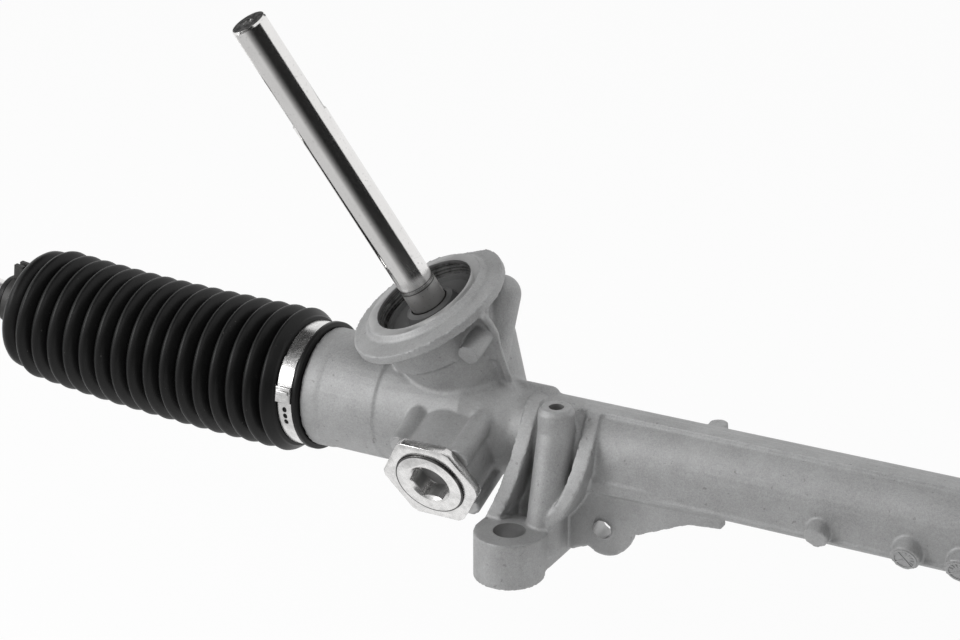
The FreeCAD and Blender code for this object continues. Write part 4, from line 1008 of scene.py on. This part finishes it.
edgeWidths = {"plug": 0.4, "rodNut": 0.5}

for node, name in (("yoke_lock_nut", "yokeLockNut"), ("yoke_plug", "yokePlug")):
    item = softened(node, name, edgeWidths["plug"], "bright_steel", "housing")
    item.data.materials[0] = plugFinish
for endName in ("left", "right"):
    node, name = endName + "_rod_nut", endName + "RodNut"
    softened(node, name, edgeWidths["rodNut"], "dark_steel", endName + "_rod")
print("nuts and plug made")


# Input shaft: the CAD pinion below the seal, and above it a ground bar with two flats, an edge
# chamfer and a centre drilled in its end.

inputShaft = {
    "join": 50.0,  # height on the pinion axis, inside the seal
    "journal": (8.9, 53.4, 54.1),  # radius, and where it starts and ends to narrow
    "radius": 8.25,
    "chamfer": 0.9,
    "centre": ((2.3, 0.0), (1.0, -1.44), (1.0, -2.4), (0.0, -3.0)),  # radius and height from the end
    "footRings": (0.0, 0.2, 20.0),  # rings close to both ends of the bar keep its shading straight
    "topRings": (60.0, 20.0, 0.2, 0.0),
    "flatDepth": 0.55,
    "flatLength": 48.5,
    "flatNormal": (-0.65, -0.58, -0.5),
    "flatCutter": (10.0, 30.0, 10.0),  # thickness, width and overrun past the bar's end
    "notch": 1.0,  # radius of the groove that ends each flat
    "notchSteps": 24,
    "steps": 96,
    "sharpAngle": 24.0,
}


def makeShaft():
    shaft = inputShaft
    top = pinionAxis.reach("pinion_shaft")[1] / mm
    radius = shaft["radius"]
    wide, start, end = shaft["journal"]
    shoulder = top - shaft["chamfer"]
    heights = [end + rise for rise in shaft["footRings"]] + [shoulder - drop for drop in shaft["topRings"]]
    profile = [(0, shaft["join"]), (wide, shaft["join"]), (wide, start)]
    profile += [(radius, height) for height in heights]
    profile += [(radius - shaft["chamfer"], top)] + stepsFrom(0, top, shaft["centre"])
    bm = bmesh.new()
    spun(bm, profile, shaft["steps"], closed=False)
    bmesh.ops.remove_doubles(bm, verts=bm.verts, dist=weldDistance)
    bmesh.ops.recalc_face_normals(bm, faces=bm.faces)
    bar = linked("bar", meshOf("bar", bm))
    turn = Axis(pinionAxis.origin, pinionAxis.along, shaft["flatNormal"])
    thick, broad, overrun = shaft["flatCutter"]
    length = shaft["flatLength"] + overrun
    for side in (-1, 1):
        flat = bmesh.new()
        bmesh.ops.create_cube(flat, size=1.0)
        bmesh.ops.scale(flat, verts=flat.verts, vec=(thick * mm, broad * mm, length * mm))
        across = side * (radius - shaft["flatDepth"] + thick / 2)
        height = top + overrun - length / 2
        bmesh.ops.translate(flat, verts=flat.verts, vec=(across * mm, 0, height * mm))
        notch = peg(shaft["notch"], broad, shaft["notchSteps"])
        turned(notch, notch.verts, math.pi / 2, "X")
        height = top - shaft["flatLength"]
        bmesh.ops.translate(notch, verts=notch.verts, vec=(side * radius * mm, 0, height * mm))
        for cutter in (flat, notch):
            cutter.transform(pinionAxis.inverse @ turn.matrix)
            cutAway(bar, cutter)
    bm = nodeMesh("pinion_shaft")
    geometry = list(bm.verts) + list(bm.edges) + list(bm.faces)
    cut = bmesh.ops.bisect_plane(bm, geom=geometry, plane_co=pinionAxis.point(shaft["join"] * mm),
                                 plane_no=pinionAxis.along, clear_outer=True)
    rim = [item for item in cut["geom_cut"] if isinstance(item, bmesh.types.BMEdge)]
    bmesh.ops.contextual_create(bm, geom=rim)
    bm.transform(pinionAxis.inverse)
    bm.from_mesh(bar.data)
    bpy.data.objects.remove(bar)
    item = finished("inputShaft", bm, "pinion", "ground_steel", pinionAxis.matrix, shaft["sharpAngle"])
    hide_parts("pinion_shaft")


makeShaft()
print("shaft made")


# Bands round the boot collars: a sprung strip with its outer layer, pressed buckle and spare holes.

bootBand = {
    "radius": 28.1,
    "thick": 0.6,
    "start": 298.3,
    "width": 7.4,
    "edge": (0.12, 0.15),  # what the strip's edges lose in thickness and in width
    "steps": 160,
    "outerLayer": (-8.0, 34.0),  # degrees past the buckle, towards the top
    "layerGap": (0.03, 0.1),  # between the layers, and at the sides
    "layerSteps": 24,
    "buckleAngle": 80.0,  # from the top, towards the yoke's side
    "buckle": (7.6, 7.9, 2.1),  # round the boot, along it, and height
    "buckleFold": (2.2, 1.8, 6.5),  # width, height and length of the fold across the buckle
    "foldPlace": 0.9,  # from the buckle's middle, round the boot
    "sunk": 0.2,
    "bevels": (0.55, 0.5),  # of the buckle and of its fold
    "holes": (15.0, 21.5, 28.0),  # degrees below the buckle
    "hole": (1.35, 1.15),  # half length and half width
    "holeSteps": 20,
    "drill": 6.0,
}


def arcStrip(bm, inner, outer, start, end, fromAngle, toAngle, steps):
    # A strip of a ring, between two angles in degrees from the local x.
    corners = ((inner, start), (outer, start), (outer, end), (inner, end))
    verts = [bm.verts.new((radius * mm, 0, height * mm)) for radius, height in corners]
    face = bm.faces.new(verts)
    turned(bm, verts, math.radians(fromAngle))
    bmesh.ops.spin(bm, geom=[face], cent=(0, 0, 0), axis=(0, 0, 1),
                   angle=math.radians(toAngle - fromAngle), steps=steps, use_merge=False)


def block(bm, size, place, turn, bevel, segments=3):
    # A box with rounded edges, size along its own axes, place and turn in the axis's frame.
    made = bmesh.ops.create_cube(bm, size=1.0)["verts"]
    bmesh.ops.scale(bm, verts=made, vec=[length * mm for length in size])
    edges = list(dict.fromkeys(edge for vertex in made for edge in vertex.link_edges))
    result = bmesh.ops.bevel(bm, geom=edges, offset=bevel * mm, offset_type="OFFSET", segments=segments,
                             profile=0.5, affect="EDGES", clamp_overlap=True, material=-1)
    verts = list(dict.fromkeys(vertex for face in result["faces"] for vertex in face.verts))
    bmesh.ops.translate(bm, verts=verts, vec=[length * mm for length in place])
    turned(bm, verts, math.radians(turn))


def makeBand(name):
    band = bootBand
    sign = -1 if name == "left" else 1
    start = band["start"]
    end = start + band["width"]
    middle = start + band["width"] / 2
    outer = band["radius"] + band["thick"]
    buckleAt = sign * band["buckleAngle"]
    thinner, narrower = band["edge"]
    bm = bmesh.new()
    section = ((band["radius"], start), (outer - thinner, start), (outer, start + narrower),
               (outer, end - narrower), (outer - thinner, end), (band["radius"], end))
    spun(bm, section, band["steps"])
    bmesh.ops.recalc_face_normals(bm, faces=bm.faces)
    strip = linked("strip", meshOf("strip", bm))
    long, wide = band["hole"]
    for angle in band["holes"]:
        hole = peg(wide, band["drill"], band["holeSteps"])
        bmesh.ops.scale(hole, verts=hole.verts, vec=(1, long / wide, 1))
        turned(hole, hole.verts, math.pi / 2, "Y")
        bmesh.ops.translate(hole, verts=hole.verts, vec=(outer * mm, 0, middle * mm))
        turned(hole, hole.verts, math.radians(buckleAt + sign * angle))
        cutAway(strip, hole)
    bm = bmesh.new()
    bm.from_mesh(strip.data)
    bpy.data.objects.remove(strip)
    first, last = band["outerLayer"]
    above, beside = band["layerGap"]
    arcStrip(bm, outer + above, outer + above + band["thick"], start + beside, end - beside,
             buckleAt - sign * first, buckleAt - sign * last, band["layerSteps"])
    along, across, high = band["buckle"]
    fold, rise, length = band["buckleFold"]
    bevel, foldBevel = band["bevels"]
    foot = outer - band["sunk"]
    block(bm, (high, along, across), (foot + high / 2, 0, middle), buckleAt, bevel)
    block(bm, (rise, fold, length), (foot + high, band["foldPlace"], middle), buckleAt, foldBevel)
    item = finished(name + "BootBand", bm, "housing", "bright_steel", endAxes[name].matrix)
    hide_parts(name + "_boot_clamp")


for endName in ("left", "right"):
    makeBand(endName)
print("bands made")


# Raised marks on the ends of the second and third casting stubs: a ring, a cross and short ticks.

stubDial = {
    "places": (208.5, 231.0),  # from the crossing, along the rack
    "turns": (35.0, 120.0),
    "reach": 24.6,
    "ring": (4.3, 5.2),
    "edge": (0.15, 0.07),  # what the ring's edges lose in width and in height
    "foot": -0.3,
    "rise": 0.35,
    "bar": (0.55, 0.6, 0.12),  # width, thickness and bevel
    "overlap": 0.2,  # of the bars with the ring
    "ticks": 5,
    "tick": (1.5, 0.4, 0.6),
    "tickInset": 1.1,
    "tickBevel": 0.1,
    "tickAngles": (200.0, 28.0),  # the first one past the bar, and between two
    "steps": 48,
}


def makeDials():
    marks = stubDial
    bm = bmesh.new()
    inner, outer = marks["ring"]
    narrower, lower = marks["edge"]
    foot, rise = marks["foot"], marks["rise"]
    width, thick, bevel = marks["bar"]
    height = rise - thick / 2
    section = ((inner, foot), (inner, rise - lower), (inner + narrower, rise), (outer - narrower, rise),
               (outer, rise - lower), (outer, foot))
    firstTick, nextTick = marks["tickAngles"]
    for place, turn in zip(marks["places"], marks["turns"]):
        dial = bmesh.new()
        spun(dial, section, marks["steps"])
        block(dial, (2 * inner + marks["overlap"], width, thick), (0, 0, height), turn, bevel, 2)
        block(dial, (inner + marks["overlap"], width, thick), (inner / 2, 0, height), turn + 90, bevel, 2)
        for index in range(marks["ticks"]):
            angle = turn + firstTick + nextTick * index
            block(dial, marks["tick"], (inner - marks["tickInset"], 0, height), angle, marks["tickBevel"], 2)
        stub = Axis(yokeAxis.origin + Vector((place * mm, 0, 0)), yokeAxis.along)
        dial.transform(stub.matrix @ Matrix.Translation((0, 0, marks["reach"] * mm)))
        addTo(bm, dial)
    finished("stubDials", bm, "housing", "cast_aluminium")


makeDials()
print("dials made")


# Rolled threads on the tie rods, laid over the plain CAD rods.

rodThread = {
    "pitch": 1.5,
    "root": 6.6,
    "crest": 6.97,
    "flank": 0.69,  # from the crest to the foot, along the rod
    "crestEdge": (0.05, 0.12),  # below the crest, and beside it
    "inset": 1.6,
    "stepsPerTurn": 36,
    "sharpAngle": 25.0,
}


def makeThread(name):
    thread = rodThread
    mount = mounts[name + "_rod_thread"]
    axis = rodAxes[name]
    middle = axis.local(mount["pos_m"]).z / mm
    half = mount["dims"]["length_mm"] / 2 - thread["inset"]
    turns = int(2 * half / thread["pitch"])
    start = middle - turns * thread["pitch"] / 2
    lower, beside = thread["crestEdge"]
    section = ((thread["root"], -thread["flank"]), (thread["crest"] - lower, -beside), (thread["crest"], 0),
               (thread["crest"] - lower, beside), (thread["root"], thread["flank"]))
    bm = bmesh.new()
    verts = [bm.verts.new((radius * mm, 0, (start + height) * mm)) for radius, height in section]
    face = bm.faces.new(verts)
    perStep = thread["pitch"] * mm / thread["stepsPerTurn"]
    bmesh.ops.spin(bm, geom=[face], cent=(0, 0, 0), axis=(0, 0, 1), dvec=(0, 0, perStep),
                   angle=2 * math.pi * turns, steps=turns * thread["stepsPerTurn"], use_merge=False)
    finished(name + "RodThread", bm, name + "_rod", "dark_steel", axis.matrix, thread["sharpAngle"])


for endName in ("left", "right"):
    makeThread(endName)
print("threads made")
